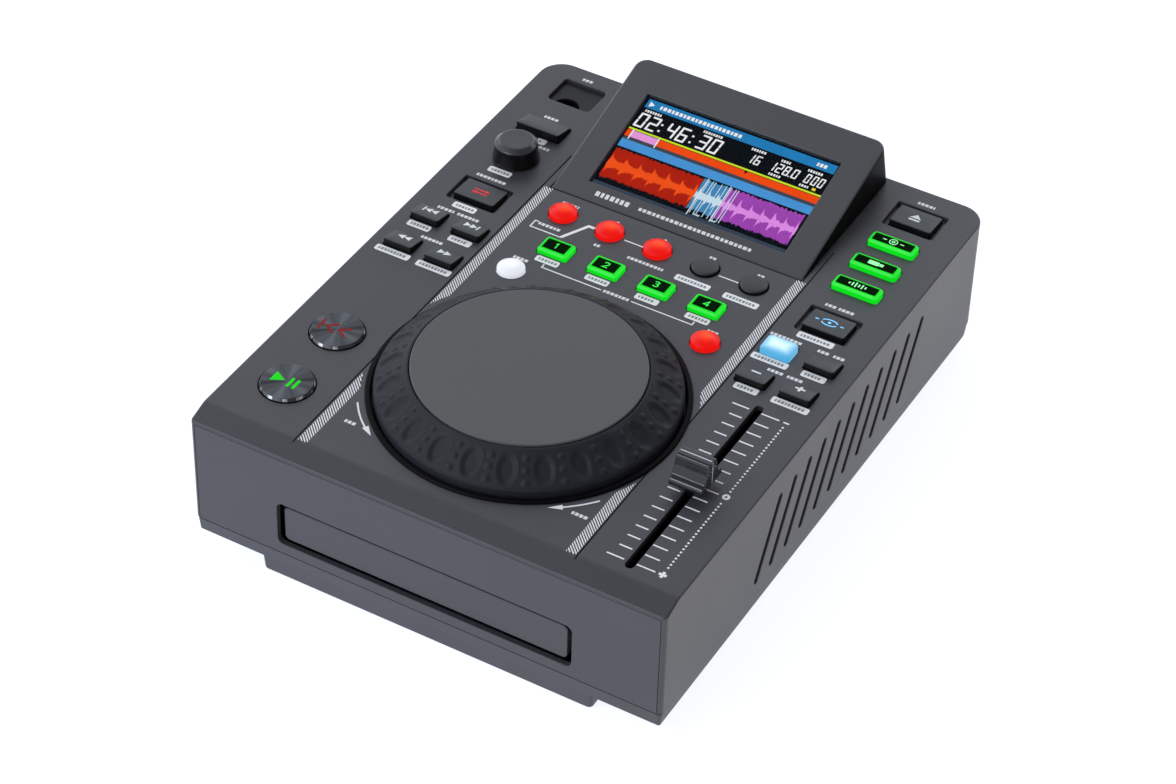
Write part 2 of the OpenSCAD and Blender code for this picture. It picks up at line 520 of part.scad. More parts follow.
module disc_tray() color([0.22, 0.22, 0.24]) {
    difference() {
        union() {
            box(-63.9, 63.9, -139.9, 22, tray_z, 33.5);
            box(-66.9, 66.9, -136, 22, tray_z, 28.1);
        }
        translate([0, disc_y, 28.5]) cylinder(r = disc_r, h = 20, $fn = 144);
        translate([0, disc_y, 27.4]) cylinder(r = 41, h = 20);
        box(-20, 20, disc_y - 20, 30, 20, 40);
        // finger relief at the front corners
        for (s = [-1, 1]) translate([s * 50, -128, 28.5]) cylinder(r = 9, h = 20);
    }
    // rack
    box(-53, -48.25, -138, 22, 22.6, tray_z + 0.1);
    for (i = [-3:46]) translate([-48.35, dyg + (i + 0.5) * PI * gear_m, 22.6]) linear_extrude(3.4)
        polygon([[0, -1.14], [2.35 * gear_m, -0.30], [2.35 * gear_m, 0.30], [0, 1.14]]);
}

module tray_bezel() color([0.36, 0.36, 0.38]) translate([0, -140.02, 31.65]) rotate([90, 0, 0]) {
    linear_extrude(3.5) rr(bezel_w, bezel_h, 2.2);
}

module tray_gear() color([0.85, 0.85, 0.8]) translate([dx, dyg, 0]) {
    translate([0, 0, 22.5]) linear_extrude(3) gear2d(gear_m, gear_teeth);
    translate([0, 0, 13]) cylinder(r = 1.5, h = 12, $fn = 32);
}

module traverse_frame() color([0.45, 0.46, 0.48]) {
    difference() {
        union() {
            box(-44, 44, -94, 30, 9.4, 11.2);
            for (s = [-1, 1]) box(min(s * 42, s * 46), max(s * 42, s * 46), -94, 32, 9.4, 16.5);
            for (y = [-62, 10]) box(-40, 40, y - 1.5, y + 1.5, 11, 19.5);
        }
        // opening for the pickup
        box(-30, 30, -60.4, 8.4, 0, 30);
        translate([0, disc_y, 0]) cylinder(r = 6, h = 14);
        for (s = [-1, 1]) {
            translate([s * 48, pivot_y, pivot_z]) rotate([0, 90, 0]) cylinder(r = 2.05, h = 14, center = true);
            translate([s * 24, -70, 16]) rotate([-90, 0, 0]) cylinder(r = 1.54, h = 90, $fn = 32);
        }
        translate([-34, -70, 16]) rotate([-90, 0, 0]) cylinder(r = 1.56, h = 90, $fn = 32);
    }
    // guide rods
    for (s = [-1, 1]) translate([s * 24, -63.5, 16]) rotate([-90, 0, 0]) cylinder(r = 1.5, h = 75, $fn = 32);
    // sled motor
    difference() {
        translate([-34, 11.6, 16]) rotate([-90, 0, 0]) cylinder(r = 4.6, h = 12);
        translate([-34, 11, 16]) rotate([-90, 0, 0]) cylinder(r = 1.56, h = 8, $fn = 32);
    }
    // spindle motor stator with its sleeve
    translate([0, disc_y, 0]) difference() {
        union() { translate([0, 0, 11.2]) cylinder(r = 11, h = 7); translate([0, 0, 11.2]) cylinder(r = 3, h = 12); }
        translate([0, 0, 10]) cylinder(r = 1.25, h = 20, $fn = 32);
    }
}

module spindle_hub() color([0.8, 0.8, 0.82]) translate([0, disc_y, 0]) rotate_extrude()
    polygon([[0, 12.5], [1.2, 12.5], [1.2, 23.6], [11.3, 23.6], [11.3, 18.6], [12.1, 18.6], [12.1, 25], [4, 25],
        [4, 30.8], [14.5, 30.8], [14.5, 32.8], [7.4, 32.8], [7.4, 33.8], [6.4, 35], [0, 35]]);

module pickup_sled() color([0.3, 0.3, 0.32]) difference() {
    union() {
        box(-28, 28, -58, -34, 12.6, 19.4);
        box(-13, 13, -58, -34, 19, 28.4);
        translate([0, -51, 28]) cylinder(r = 4.2, h = 2.6);
        box(-37, -27, -50, -42, 13.2, 18.8);
    }
    for (s = [-1, 1]) translate([s * 24, -60, 16]) rotate([-90, 0, 0]) cylinder(r = 1.56, h = 40, $fn = 32);
    translate([-34, -60, 16]) rotate([-90, 0, 0]) cylinder(r = 1.56, h = 40, $fn = 32);
}

module lead_screw() color([0.8, 0.8, 0.82]) translate([-34, -63.4, 16]) rotate([-90, 0, 0]) cylinder(r = 1.5, h = 81, $fn = 32);

module clamp_puck() color([0.15, 0.15, 0.16]) translate([0, disc_y, 0]) rotate_extrude()
    polygon([[8, 34.3], [11.2, 34.3], [11.2, 39.6], [16, 39.6], [16, 41.4], [0, 41.4], [0, 36.2], [8, 36.2]]);

// ---------- keys ----------
// stem and retaining flange under the panel
module key_foot(x, y, w, d, zf = skin_z) translate([x, y, 0]) {
    translate([0, 0, zf - 1.7]) linear_extrude(1.3) rr(w + 1.7, d + 1.7, 1.2);
    translate([-1.8, -1.8, sw_z + 1.1]) cube([3.6, 3.6, zf - sw_z - 1.5]);
}

// cap whose top falls from a high front edge to a low back edge
module wedge_key(x, y, w, d, hf, hb, r = 0.8) {
    key_foot(x, y, w, d);
    translate([x, y, 0]) intersection() {
        translate([0, 0, skin_z - 1]) linear_extrude(20) rr(w, d, r);
        along_x(-w, w) polygon([[-d, skin_z - 2], [d, skin_z - 2], [d / 2, panel_z + hb], [d / 2 - 1.2, panel_z + hb + 0.5],
            [-d / 2 + 1.6, panel_z + hf], [-d / 2, panel_z + hf - 0.5], [-d, panel_z + hf - 2]]);
    }
}

// flat-topped cap with a small bevel step, for the lit keys
module lit_key(x, y, w, d, h, r = 1.2) {
    key_foot(x, y, w, d);
    translate([x, y, skin_z - 1]) linear_extrude(panel_z + h - 0.6 - skin_z + 1) rr(w, d, r);
    translate([x, y, panel_z + h - 0.7]) linear_extrude(0.7) rr(w - 1.2, d - 1.2, r);
}

module dome_key(x, y, h = 3.9) {
    translate([x, y, skin_z - 1.7]) cylinder(r = dome_d / 2 + 0.85, h = 1.3);
    translate([x - 1.8, y - 1.8, sw_z + 1.1]) cube([3.6, 3.6, skin_z - sw_z - 1.5]);
    translate([x, y, 0]) intersection() {
        translate([0, 0, skin_z - 1]) cylinder(r = dome_d / 2, h = 20);
        translate([0, 0, panel_z + h - 9.6]) sphere(r = 9.6);
    }
}

module flat_round_key(x, y, d, h) {
    translate([x, y, skin_z - 1.7]) cylinder(r = d / 2 + 0.85, h = 1.3);
    translate([x - 1.8, y - 1.8, sw_z + 1.1]) cube([3.6, 3.6, skin_z - sw_z - 1.5]);
    translate([x, y, 0]) rotate_extrude() polygon([[0, skin_z - 1], [d / 2, skin_z - 1], [d / 2, panel_z + h - 1],
        [d / 2 - 0.8, panel_z + h], [0, panel_z + h]]);
}

// square key standing in its sunk pocket
module sunk_key(q, h) {
    zf = panel_z - 4.4;
    translate([q[0], q[1], zf - 1.4]) linear_extrude(1) rr(q[2] - 1.5, q[3] - 1.5, 1.2);
    translate([q[0] - 1.8, q[1] - 1.8, sw_z + 1.1]) cube([3.6, 3.6, zf - sw_z - 1.3]);
    wk = q[2] - 4.4; dk = q[3] - 4.4;
    translate([q[0], q[1] + 0.5, 0]) intersection() {
        translate([0, 0, zf - 1]) linear_extrude(20) rr(wk, dk, 0.9);
        along_x(-wk, wk) polygon([[-dk, zf - 2], [dk, zf - 2], [dk / 2, panel_z + h - 0.9], [dk / 2 - 1, panel_z + h - 0.4],
            [-dk / 2 + 1, panel_z + h + 0.3], [-dk / 2, panel_z + h - 0.1], [-dk, panel_z + h - 1]]);
    }
}

grey = [0.24, 0.25, 0.27];
green = [0.05, 0.9, 0.15];
red = [0.95, 0.12, 0.08];
module small_key(i) wedge_key(small_keys[i][0], small_keys[i][1], small_w, key_d, key_h, 1.1);
module hot_key(i) color(green) lit_key(hot_cues[i][0], hot_cues[i][1], key_w, key_d, 2.3);
module source_key(i) color(green) lit_key(sources[i][0], sources[i][1], source_w, 8, 2.8, 1.6);

module play_button() color([0.62, 0.63, 0.66]) flat_round_key(transports[0][0], transports[0][1], transport_d, 1.6);
module cue_button() color([0.62, 0.63, 0.66]) flat_round_key(transports[1][0], transports[1][1], transport_d, 1.6);
module prev_track_button() color(grey) small_key(0);
module next_track_button() color(grey) small_key(1);
module search_back_button() color(grey) small_key(2);
module search_forward_button() color(grey) small_key(3);
module key_lock_button() color([0.55, 0.85, 1]) lit_key(small_keys[4][0], small_keys[4][1], small_w, key_d, 3);
module tap_button() color(grey) small_key(5);
module bend_down_button() color(grey) small_key(6);
module bend_up_button() color(grey) small_key(7);
module direction_button() color(grey) sunk_key(squares[0], 0.8);
module jog_mode_button() color(grey) sunk_key(squares[1], 0.8);
module eject_button() color(grey) sunk_key(squares[2], 0.8);
module back_button() color(grey) wedge_key(back_key[0], back_key[1], back_key[2], back_key[3], 4, 1.1);
module auto_loop_button() color(red) dome_key(domes[0][0], domes[0][1]);
module loop_in_button() color(red) dome_key(domes[1][0], domes[1][1]);
module loop_out_button() color(red) dome_key(domes[2][0], domes[2][1]);
module loop_half_button() color(grey) flat_round_key(domes[3][0], domes[3][1], dome_d, 1.6);
module loop_double_button() color(grey) flat_round_key(domes[4][0], domes[4][1], dome_d, 1.6);
module shift_button() color([0.95, 0.96, 0.98]) dome_key(domes[5][0], domes[5][1], 3.2);
module slip_button() color(red) dome_key(domes[6][0], domes[6][1]);
module hot_cue_1_button() hot_key(0);
module hot_cue_2_button() hot_key(1);
module hot_cue_3_button() hot_key(2);
module hot_cue_4_button() hot_key(3);
module disc_source_button() source_key(0);
module usb_source_button() source_key(1);
module midi_source_button() source_key(2);

top_case();
bottom_case();
rear_panel();
feet();
case_screws();
display_housing();
display_lens();
lcd_module();
main_board();
panel_boards();
jog_collar();
jog_bearing();
jog_wheel();
jog_plate();
jog_hub();
power_supply();
power_inlet();
power_rocker();
usb_cover();
fader_cap();
fader_body();
encoder_knob();
encoder_plunger();
drive_chassis();
disc_tray();
tray_bezel();
tray_gear();
traverse_frame();
spindle_hub();
pickup_sled();
lead_screw();
clamp_puck();
play_button();
cue_button();
prev_track_button();
next_track_button();
search_back_button();
search_forward_button();
direction_button();
back_button();
auto_loop_button();
loop_in_button();
loop_out_button();
loop_half_button();
loop_double_button();
shift_button();
slip_button();
hot_cue_1_button();
hot_cue_2_button();
hot_cue_3_button();
hot_cue_4_button();
eject_button();
disc_source_button();
usb_source_button();
midi_source_button();
jog_mode_button();
key_lock_button();
tap_button();
bend_down_button();
bend_up_button();
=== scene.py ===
import math

import bmesh
import bpy
from mathutils import Matrix, Vector


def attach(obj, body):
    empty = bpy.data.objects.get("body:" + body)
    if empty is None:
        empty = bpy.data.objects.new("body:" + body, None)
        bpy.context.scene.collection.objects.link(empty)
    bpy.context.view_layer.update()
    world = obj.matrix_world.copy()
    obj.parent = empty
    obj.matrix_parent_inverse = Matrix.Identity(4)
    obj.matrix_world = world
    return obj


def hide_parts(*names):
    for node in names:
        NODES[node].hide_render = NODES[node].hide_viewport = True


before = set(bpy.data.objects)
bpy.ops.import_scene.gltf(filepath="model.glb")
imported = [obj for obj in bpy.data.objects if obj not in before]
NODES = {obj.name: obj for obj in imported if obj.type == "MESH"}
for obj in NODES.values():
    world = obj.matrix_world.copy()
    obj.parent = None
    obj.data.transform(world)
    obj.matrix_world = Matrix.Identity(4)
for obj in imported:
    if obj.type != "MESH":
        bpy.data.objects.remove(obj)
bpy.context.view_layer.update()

MM = 0.001

# ------------------------------------------------------------------ sizes, millimetres, as in the CAD source
HW, HD = 110.0, 145.0
SEAM, PZ = 15.0, 71.2
SKIN = PZ - 2.5
BEV, DROP = 10.3, 3.1
JY = -62.0
JOG_R, PLATE_R, PLATE_H = 63.5, 48.6, 14.9
TILT = math.radians(15.8)
DISP_W, DISP_L, LENS_W, LENS_L = 123.6, 81.8, 96.0, 53.7
GAP = 0.35
KW, KS, KD, KH = 14.2, 13.8, 10.1, 3.1
DOME, TRANS = 12.2, 23.3
SRC_W, SRC_H, HOT_H, SUNK_H, SLOT_W = 21.6, 2.8, 2.3, 0.8, 3.8
FX, FY, FMID, SLOT_L = 84.6, -76.3, -75.05, 110.5
KNOB = (-85.5, 70.9)
USB = (-86.1, 125.8)
SMALL = [(-96.0, 15.7), (-75.5, 15.7), (-96.0, -5.8), (-75.5, -6.1),
         (74.4, 15.2), (94.9, 15.5), (74.0, -5.6), (94.4, -5.5)]
DOMES = [(-47.6, 47.1), (-24.1, 46.6), (-0.6, 46.5), (22.6, 46.8), (45.9, 47.1), (-47.5, 3.0), (46.0, 3.4)]
HOTS = [(-37.4, 24.0), (-12.9, 24.0), (11.5, 23.9), (35.8, 23.8)]
SOURCES = [(84.6, 101.8), (84.6, 84.5), (84.6, 67.3)]
SQUARES = [(-85.6, 40.6, 24.4, 17.7), (84.7, 40.6, 24.2, 17.6), (84.7, 123.6, 24.2, 17.9)]
TRANSPORTS = [(-86.8, -108.7), (-87.4, -70.5)]
BACK = (-86.0, 95.6, 21.6, 11.9)


# ------------------------------------------------------------------ mesh helpers
class Geo:
    """Vertices in millimetres, faces and a material number for each face."""

    def __init__(self):
        self.v, self.f, self.m = [], [], []

    def add(self, verts, faces, mat=0):
        o = len(self.v)
        self.v.extend(verts)
        for i, f in enumerate(faces):
            self.f.append(tuple(k + o for k in f))
            self.m.append(mat[i] if isinstance(mat, list) else mat)


def flat(x=0.0, y=0.0, z=0.0):
    return lambda p: (p[0] + x, p[1] + y, p[2] + z)


CT, ST = math.cos(TILT), math.sin(TILT)


def on_display(p):
    """x right, y up the slope, z out of the sloping face."""
    return (p[0], 61.0 + p[1] * CT - p[2] * ST, PZ + 0.3 + p[1] * ST + p[2] * CT)


def rrect(w, d, r, n=6, cx=0.0, cy=0.0):
    r = max(min(r, w / 2 - 0.01, d / 2 - 0.01), 0.03)
    pts = []
    for sx, sy, a0 in ((1, -1, -90), (1, 1, 0), (-1, 1, 90), (-1, -1, 180)):
        for k in range(n + 1):
            a = math.radians(a0 + 90.0 * k / n)
            pts.append((cx + sx * (w / 2 - r) + r * math.cos(a), cy + sy * (d / 2 - r) + r * math.sin(a)))
    return pts


def circ(r, n=64, cx=0.0, cy=0.0):
    return [(cx + r * math.cos(2 * math.pi * k / n), cy + r * math.sin(2 * math.pi * k / n)) for k in range(n)]


def stadium(l, w, ang=0.0, n=10, cx=0.0, cy=0.0):
    """A slot of overall length l and width w, its long axis turned ang degrees from x."""
    r, h = w / 2, (l - w) / 2
    ca, sa = math.cos(math.radians(ang)), math.sin(math.radians(ang))
    pts = []
    for s, a0 in ((1, -90), (-1, 90)):
        for k in range(n + 1):
            a = math.radians(a0 + 180.0 * k / n)
            x, y = s * h + r * math.cos(a), r * math.sin(a)
            pts.append((cx + x * ca - y * sa, cy + x * sa + y * ca))
    return pts


def loft(geo, rings, bottom=True, top=True, mats=0, mat_top=None, mat_bottom=None):
    n = len(rings[0])
    v, f, m = [], [], []
    for r in rings:
        v.extend(r)
    for i in range(len(rings) - 1):
        for j in range(n):
            a, b = i * n + j, i * n + (j + 1) % n
            f.append((a, b, b + n, a + n))
            m.append(mats[i] if isinstance(mats, (list, tuple)) else mats)
    last = m[-1]
    if bottom:
        f.append(tuple(reversed(range(n))))
        m.append(m[0] if mat_bottom is None else mat_bottom)
    if top:
        f.append(tuple((len(rings) - 1) * n + j for j in range(n)))
        m.append(last if mat_top is None else mat_top)
    geo.add(v, f, m)


def revolve(geo, prof, n=96, cx=0.0, cy=0.0, mats=0, closed=False):
    """prof is (r, z) from one end of the axis to the other, or a closed loop."""
    v, f, m = [], [], []
    idx = []
    for r, z in prof:
        if r < 1e-6:
            idx.append((len(v), True))
            v.append((cx, cy, z))
        else:
            idx.append((len(v), False))
            for k in range(n):
                a = 2 * math.pi * k / n
                v.append((cx + r * math.cos(a), cy + r * math.sin(a), z))
    pairs = [(i, i + 1) for i in range(len(prof) - 1)] + ([(len(prof) - 1, 0)] if closed else [])
    for i, j in pairs:
        (a, pa), (b, pb) = idx[i], idx[j]
        for k in range(n):
            k2 = (k + 1) % n
            if pa and pb:
                continue
            if pa:
                f.append((a, b + k2, b + k))
            elif pb:
                f.append((a + k, a + k2, b))
            else:
                f.append((a + k, a + k2, b + k2, b + k))
            m.append(mats[i] if isinstance(mats, (list, tuple)) else mats)
    geo.add(v, f, m)


def arc(cx, cz, r, a0, a1, n):
    return [(cx + r * math.cos(math.radians(a0 + (a1 - a0) * k / n)),
             cz + r * math.sin(math.radians(a0 + (a1 - a0) * k / n))) for k in range(n + 1)]


def round_prof(pts, radii, n=4):
    """Rounds the corners of an open (r, z) profile; radii holds one radius for each point."""
    out = []
    for i, p in enumerate(pts):
        rad = radii[i]
        if rad <= 0 or i == 0 or i == len(pts) - 1:
            out.append(p)
            continue
        a, b, c = Vector(pts[i - 1]), Vector(p), Vector(pts[i + 1])
        u, w = (a - b), (c - b)
        lu, lw = u.length, w.length
        u.normalize(), w.normalize()
        half = math.acos(max(-1, min(1, u.dot(w)))) / 2
        t = min(rad / math.tan(half), lu * 0.48, lw * 0.48)
        p0, p1 = b + u * t, b + w * t
        for k in range(n + 1):
            s = k / n
            q = p0 * (1 - s) ** 2 + b * (2 * s * (1 - s)) + p1 * s ** 2
            out.append((q.x, q.y))
    return out


def prism(geo, outline, zf, h0, h1, mat=0, tf=None):
    """A closed plate over an outline: from zf + h0 to zf + h1."""
    tf = tf or (lambda p: p)
    z = zf if callable(zf) else (lambda x, y: zf)
    rings = [[tf((x, y, z(x, y) + h)) for x, y in outline] for h in (h0, h1)]
    loft(geo, rings, mats=mat)


def ribbon(geo, pts, w, zf, h0, h1, mat=0, tf=None, w_end=None):
    """A flat stroke of width w along pts, with mitred corners."""
    tf = tf or (lambda p: p)
    z = zf if callable(zf) else (lambda x, y: zf)
    P = [Vector(p) for p in pts]
    L, R = [], []
    for i, p in enumerate(P):
        ww = w if w_end is None else w + (w_end - w) * i / (len(P) - 1)
        d0 = (P[i] - P[i - 1]).normalized() if i else None
        d1 = (P[i + 1] - P[i]).normalized() if i < len(P) - 1 else None
        d = ((d0 or d1) + (d1 or d0)).normalized()
        nrm = Vector((-d.y, d.x))
        k = 1.0
        if d0 is not None and d1 is not None:
            k = 1.0 / max(0.45, nrm.dot(Vector((-d0.y, d0.x))))
        L.append(p + nrm * (ww / 2 * k))
        R.append(p - nrm * (ww / 2 * k))
    n = len(P)
    v = []
    for h in (h0, h1):
        for q in L + R:
            v.append(tf((q.x, q.y, z(q.x, q.y) + h)))
    f = []
    m2 = 2 * n
    for i in range(n - 1):
        f.append((m2 + n + i, m2 + n + i + 1, m2 + i + 1, m2 + i))
        f.append((i, i + 1, n + i + 1, n + i))
        f.append((i, m2 + i, m2 + i + 1, i + 1))
        f.append((n + i + 1, m2 + n + i + 1, m2 + n + i, n + i))
    f.append((0, n, m2 + n, m2))
    f.append((n - 1, m2 + n - 1, m2 + 2 * n - 1, 2 * n - 1))
    geo.add(v, f, mat)


def clean_mesh(name, verts, faces, mats=None, midx=None):
    me = bpy.data.meshes.new(name)
    me.from_pydata(verts, [], faces)
    for m in mats or []:
        me.materials.append(m)
    if midx is not None and len(midx) == len(me.polygons):
        me.polygons.foreach_set("material_index", midx)
    me.update()
    return me


def recalc(me):
    bm = bmesh.new()
    bm.from_mesh(me)
    bmesh.ops.recalc_face_normals(bm, faces=bm.faces)
    bm.to_mesh(me)
    bm.free()


def shade(ob, sharp=32.0, weighted=True):
    me = ob.data
    me.polygons.foreach_set("use_smooth", [True] * len(me.polygons))
    me.set_sharp_from_angle(angle=math.radians(sharp))
    me.update()
    if weighted:
        m = ob.modifiers.new("shading", "WEIGHTED_NORMAL")
        m.keep_sharp = True
        m.weight = 50


def flat_faces(ob, least=150.0):
    """Gives every corner of a large flat face that face's own direction, so that it takes the light evenly."""
    dg = bpy.context.evaluated_depsgraph_get()
    dg.update()
    me = bpy.data.meshes.new_from_object(ob.evaluated_get(dg))
    areas, keys = {}, []
    for pl in me.polygons:
        n = pl.normal
        k = (round(n.x, 2), round(n.y, 2), round(n.z, 2), round(n.dot(pl.center) / MM * 5))
        keys.append(k)
        areas[k] = areas.get(k, 0.0) + pl.area * 1e6
    nor = [c.vector.copy() for c in me.corner_normals]
    for pl, k in zip(me.polygons, keys):
        if areas[k] > least:
            for li in pl.loop_indices:
                nor[li] = pl.normal.copy()
    if len(nor) == len(ob.data.loops):
        ob.modifiers.clear()
        ob.data.normals_split_custom_set(nor)
    bpy.data.meshes.remove(me)


def put(ob):
    bpy.context.scene.collection.objects.link(ob)
    return ob


def piece(name, geo, mats, body, nodes=(), sharp=32.0, weighted=True, fix=True):
    me = clean_mesh(name, [(x * MM, y * MM, z * MM) for x, y, z in geo.v], geo.f, mats, geo.m)
    if fix:
        recalc(me)
    ob = put(bpy.data.objects.new(name, me))
    shade(ob, sharp, weighted)
    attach(ob, body)
    if nodes:
        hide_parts(*nodes)
    return ob


def raw(geo, name="tmp"):
    me = clean_mesh(name, [(x * MM, y * MM, z * MM) for x, y, z in geo.v], geo.f)
    recalc(me)
    return put(bpy.data.objects.new(name, me))


def cad_copy(node, dissolve=False):
    """The node's own mesh, welded, as a new object."""
    bm = bmesh.new()
    bm.from_mesh(NODES[node].data)
    bmesh.ops.remove_doubles(bm, verts=bm.verts, dist=1e-6)
    if dissolve:
        bmesh.ops.dissolve_limit(bm, angle_limit=math.radians(0.5), verts=bm.verts, edges=bm.edges)
    bm.verts.ensure_lookup_table()
    vs = [tuple(v.co) for v in bm.verts]
    fs = [tuple(v.index for v in f.verts) for f in bm.faces]
    bm.free()
    me = clean_mesh(node + "_copy", vs, fs)
    return put(bpy.data.objects.new(node + "_copy", me))


def boolean(ob, other, op):
    for solver in ("MANIFOLD", "EXACT"):
        mod = ob.modifiers.new("cut", "BOOLEAN")
        mod.operation, mod.solver, mod.object = op, solver, other
        dg = bpy.context.evaluated_depsgraph_get()
        dg.update()
        me = bpy.data.meshes.new_from_object(ob.evaluated_get(dg))
        ob.modifiers.clear()
        if len(me.polygons) > 8:
            ob.data = me
            return True
    print("BOOLEAN failed", ob.name, op)
    return False


def tidy(ob, dist=2e-6):
    """Drops degenerate slivers that a boolean leaves."""
    bm = bmesh.new()
    bm.from_mesh(ob.data)
    bmesh.ops.remove_doubles(bm, verts=bm.verts, dist=dist)
    bmesh.ops.dissolve_degenerate(bm, dist=dist, edges=bm.edges)
    bmesh.ops.recalc_face_normals(bm, faces=bm.faces)
    bm.verts.ensure_lookup_table()
    vs = [tuple(v.co) for v in bm.verts]
    fs = [tuple(v.index for v in f.verts) for f in bm.faces]
    bm.free()
    ob.data = clean_mesh(ob.name, vs, fs)


def drop(*obs):
    for o in obs:
        bpy.data.objects.remove(o, do_unlink=True)


def flare(geo, outline, r, tf, flip=1.0):
    """A cutter whose mouth opens as a rounded lip of radius r. outline(o) is the hole's outline grown by o."""
    rings = [(-0.06, -r - 0.25), (-0.004, -r - 0.02)]
    for a in (18, 36, 54, 72):
        rings.append((r * (1 - math.cos(math.radians(a))), -r + r * math.sin(math.radians(a))))
    o, s = rings[-1]
    rings.append((o + 0.5 * 0.951, s + 0.5 * 0.309))
    rings.append((o + 0.5 * 0.951, s + 1.2))
    loft(geo, [[tf((x, y, s)) for x, y in outline(o)] for o, s in rings])


# ------------------------------------------------------------------ materials
def lin(r, g, b):
    def c(x):
        x /= 255.0
        return x / 12.92 if x <= 0.04045 else ((x + 0.055) / 1.055) ** 2.4
    return (c(r), c(g), c(b))


class Mat:
    def __init__(self, name):
        self.m = bpy.data.materials.new(name)
        self.m.use_nodes = True
        self.t = self.m.node_tree
        self.n, self.l = self.t.nodes, self.t.links
        self.b = self.n["Principled BSDF"]
        self.tc = self.n.new("ShaderNodeTexCoord")

    def node(self, kind, **kw):
        x = self.n.new(kind)
        for k, v in kw.items():
            if k.startswith("_"):
                x.inputs[k[1:].replace("_", " ")].default_value = v
            else:
                setattr(x, k, v)
        return x

    def noise(self, scale, detail=3.0, rough=0.55, vec=None):
        x = self.node("ShaderNodeTexNoise")
        x.inputs["Scale"].default_value = scale
        x.inputs["Detail"].default_value = detail
        x.inputs["Roughness"].default_value = rough
        self.l.new(vec or self.tc.outputs["Object"], x.inputs["Vector"])
        return x.outputs["Fac"]

    def remap(self, src, a, b, c, d, smooth=False):
        x = self.node("ShaderNodeMapRange")
        x.interpolation_type = "SMOOTHSTEP" if smooth else "LINEAR"
        for k, v in zip(("From Min", "From Max", "To Min", "To Max"), (a, b, c, d)):
            x.inputs[k].default_value = v
        self.l.new(src, x.inputs["Value"])
        return x.outputs["Result"]

    def math(self, op, a, b=None):
        x = self.node("ShaderNodeMath", operation=op)
        for i, s in enumerate((a, b)):
            if s is None:
                continue
            if isinstance(s, (int, float)):
                x.inputs[i].default_value = s
            else:
                self.l.new(s, x.inputs[i])
        return x.outputs[0]

    def mix(self, fac, a, b):
        x = self.node("ShaderNodeMix", data_type="RGBA")
        if isinstance(fac, (int, float)):
            x.inputs[0].default_value = fac
        else:
            self.l.new(fac, x.inputs[0])
        for i, s in ((6, a), (7, b)):
            if isinstance(s, tuple):
                x.inputs[i].default_value = (*s, 1.0)
            else:
                self.l.new(s, x.inputs[i])
        return x.outputs[2]

    def bump(self, height, dist, strength=1.0, after=None):
        x = self.node("ShaderNodeBump")
        x.inputs["Strength"].default_value = strength
        x.inputs["Distance"].default_value = dist
        self.l.new(height, x.inputs["Height"])
        if after is not None:
            self.l.new(after, x.inputs["Normal"])
        return x.outputs["Normal"]

    def set(self, sock, val):
        if isinstance(val, (int, float)):
            self.b.inputs[sock].default_value = val
        elif isinstance(val, tuple):
            self.b.inputs[sock].default_value = (*val, 1.0)
        else:
            self.l.new(val, self.b.inputs[sock])


def surface(name, rgb, rough=0.42, grain_mm=0.35, grain_um=6.0, tint=0.05, rvar=0.05, wear_and_highlight=0.0, metallic=0.0,
            ior=1.5, spec=0.5, coat=0.0, coat_rough=0.1, patch=0.0, emit=None, emit_k=1.0, sheen=0.0, dust=0.0):
    """A moulded or painted surface: fine grain in the bump, slow changes in colour and gloss, and edges lightened by
    their curvature, part wear and part painted highlight.
    """
    M = Mat(name)
    g = M.noise(1000.0 / grain_mm, 3.0, 0.6)
    mid = M.noise(70.0, 4.0, 0.55)
    slow = M.noise(14.0, 3.0, 0.5)
    base = M.mix(M.remap(M.math("ADD", M.math("MULTIPLY", mid, 0.6), M.math("MULTIPLY", g, 0.4)), 0.3, 0.7, 0.0, 1.0),
                 tuple(c * (1 - tint) for c in rgb), tuple(min(1.0, c * (1 + tint)) for c in rgb))
    if wear_and_highlight:
        # convex edges lightened from Pointiness: partly wear, partly a painted highlight where edges catch the light
        geo = M.node("ShaderNodeNewGeometry")
        edge = M.remap(geo.outputs["Pointiness"], 0.515, 0.60, 0.0, 1.0, True)
        edge = M.math("MULTIPLY", edge, M.remap(mid, 0.35, 0.7, 0.3, 1.0))
        base = M.mix(M.math("MULTIPLY", edge, wear_and_highlight), base, tuple(min(1.0, c * 2.1 + 0.012) for c in rgb))
    M.set("Base Color", base)
    M.set("Roughness", M.remap(M.math("ADD", M.math("MULTIPLY", slow, 0.6), M.math("MULTIPLY", g, 0.4)),
                               0.3, 0.7, rough - rvar, rough + rvar))
    M.set("Normal", M.bump(g, grain_um * 1e-6, 0.6))
    M.set("Metallic", metallic)
    M.set("IOR", ior)
    M.set("Specular IOR Level", spec)
    if coat:
        M.set("Coat Weight", coat)
        M.set("Coat Roughness", coat_rough)
    if sheen:
        M.set("Sheen Weight", sheen)
    if emit:
        M.set("Emission Color", M.mix(M.remap(mid, 0.3, 0.7, 0.0, 1.0), tuple(c * 0.93 for c in emit), emit))
        M.set("Emission Strength", emit_k)
    return M.m


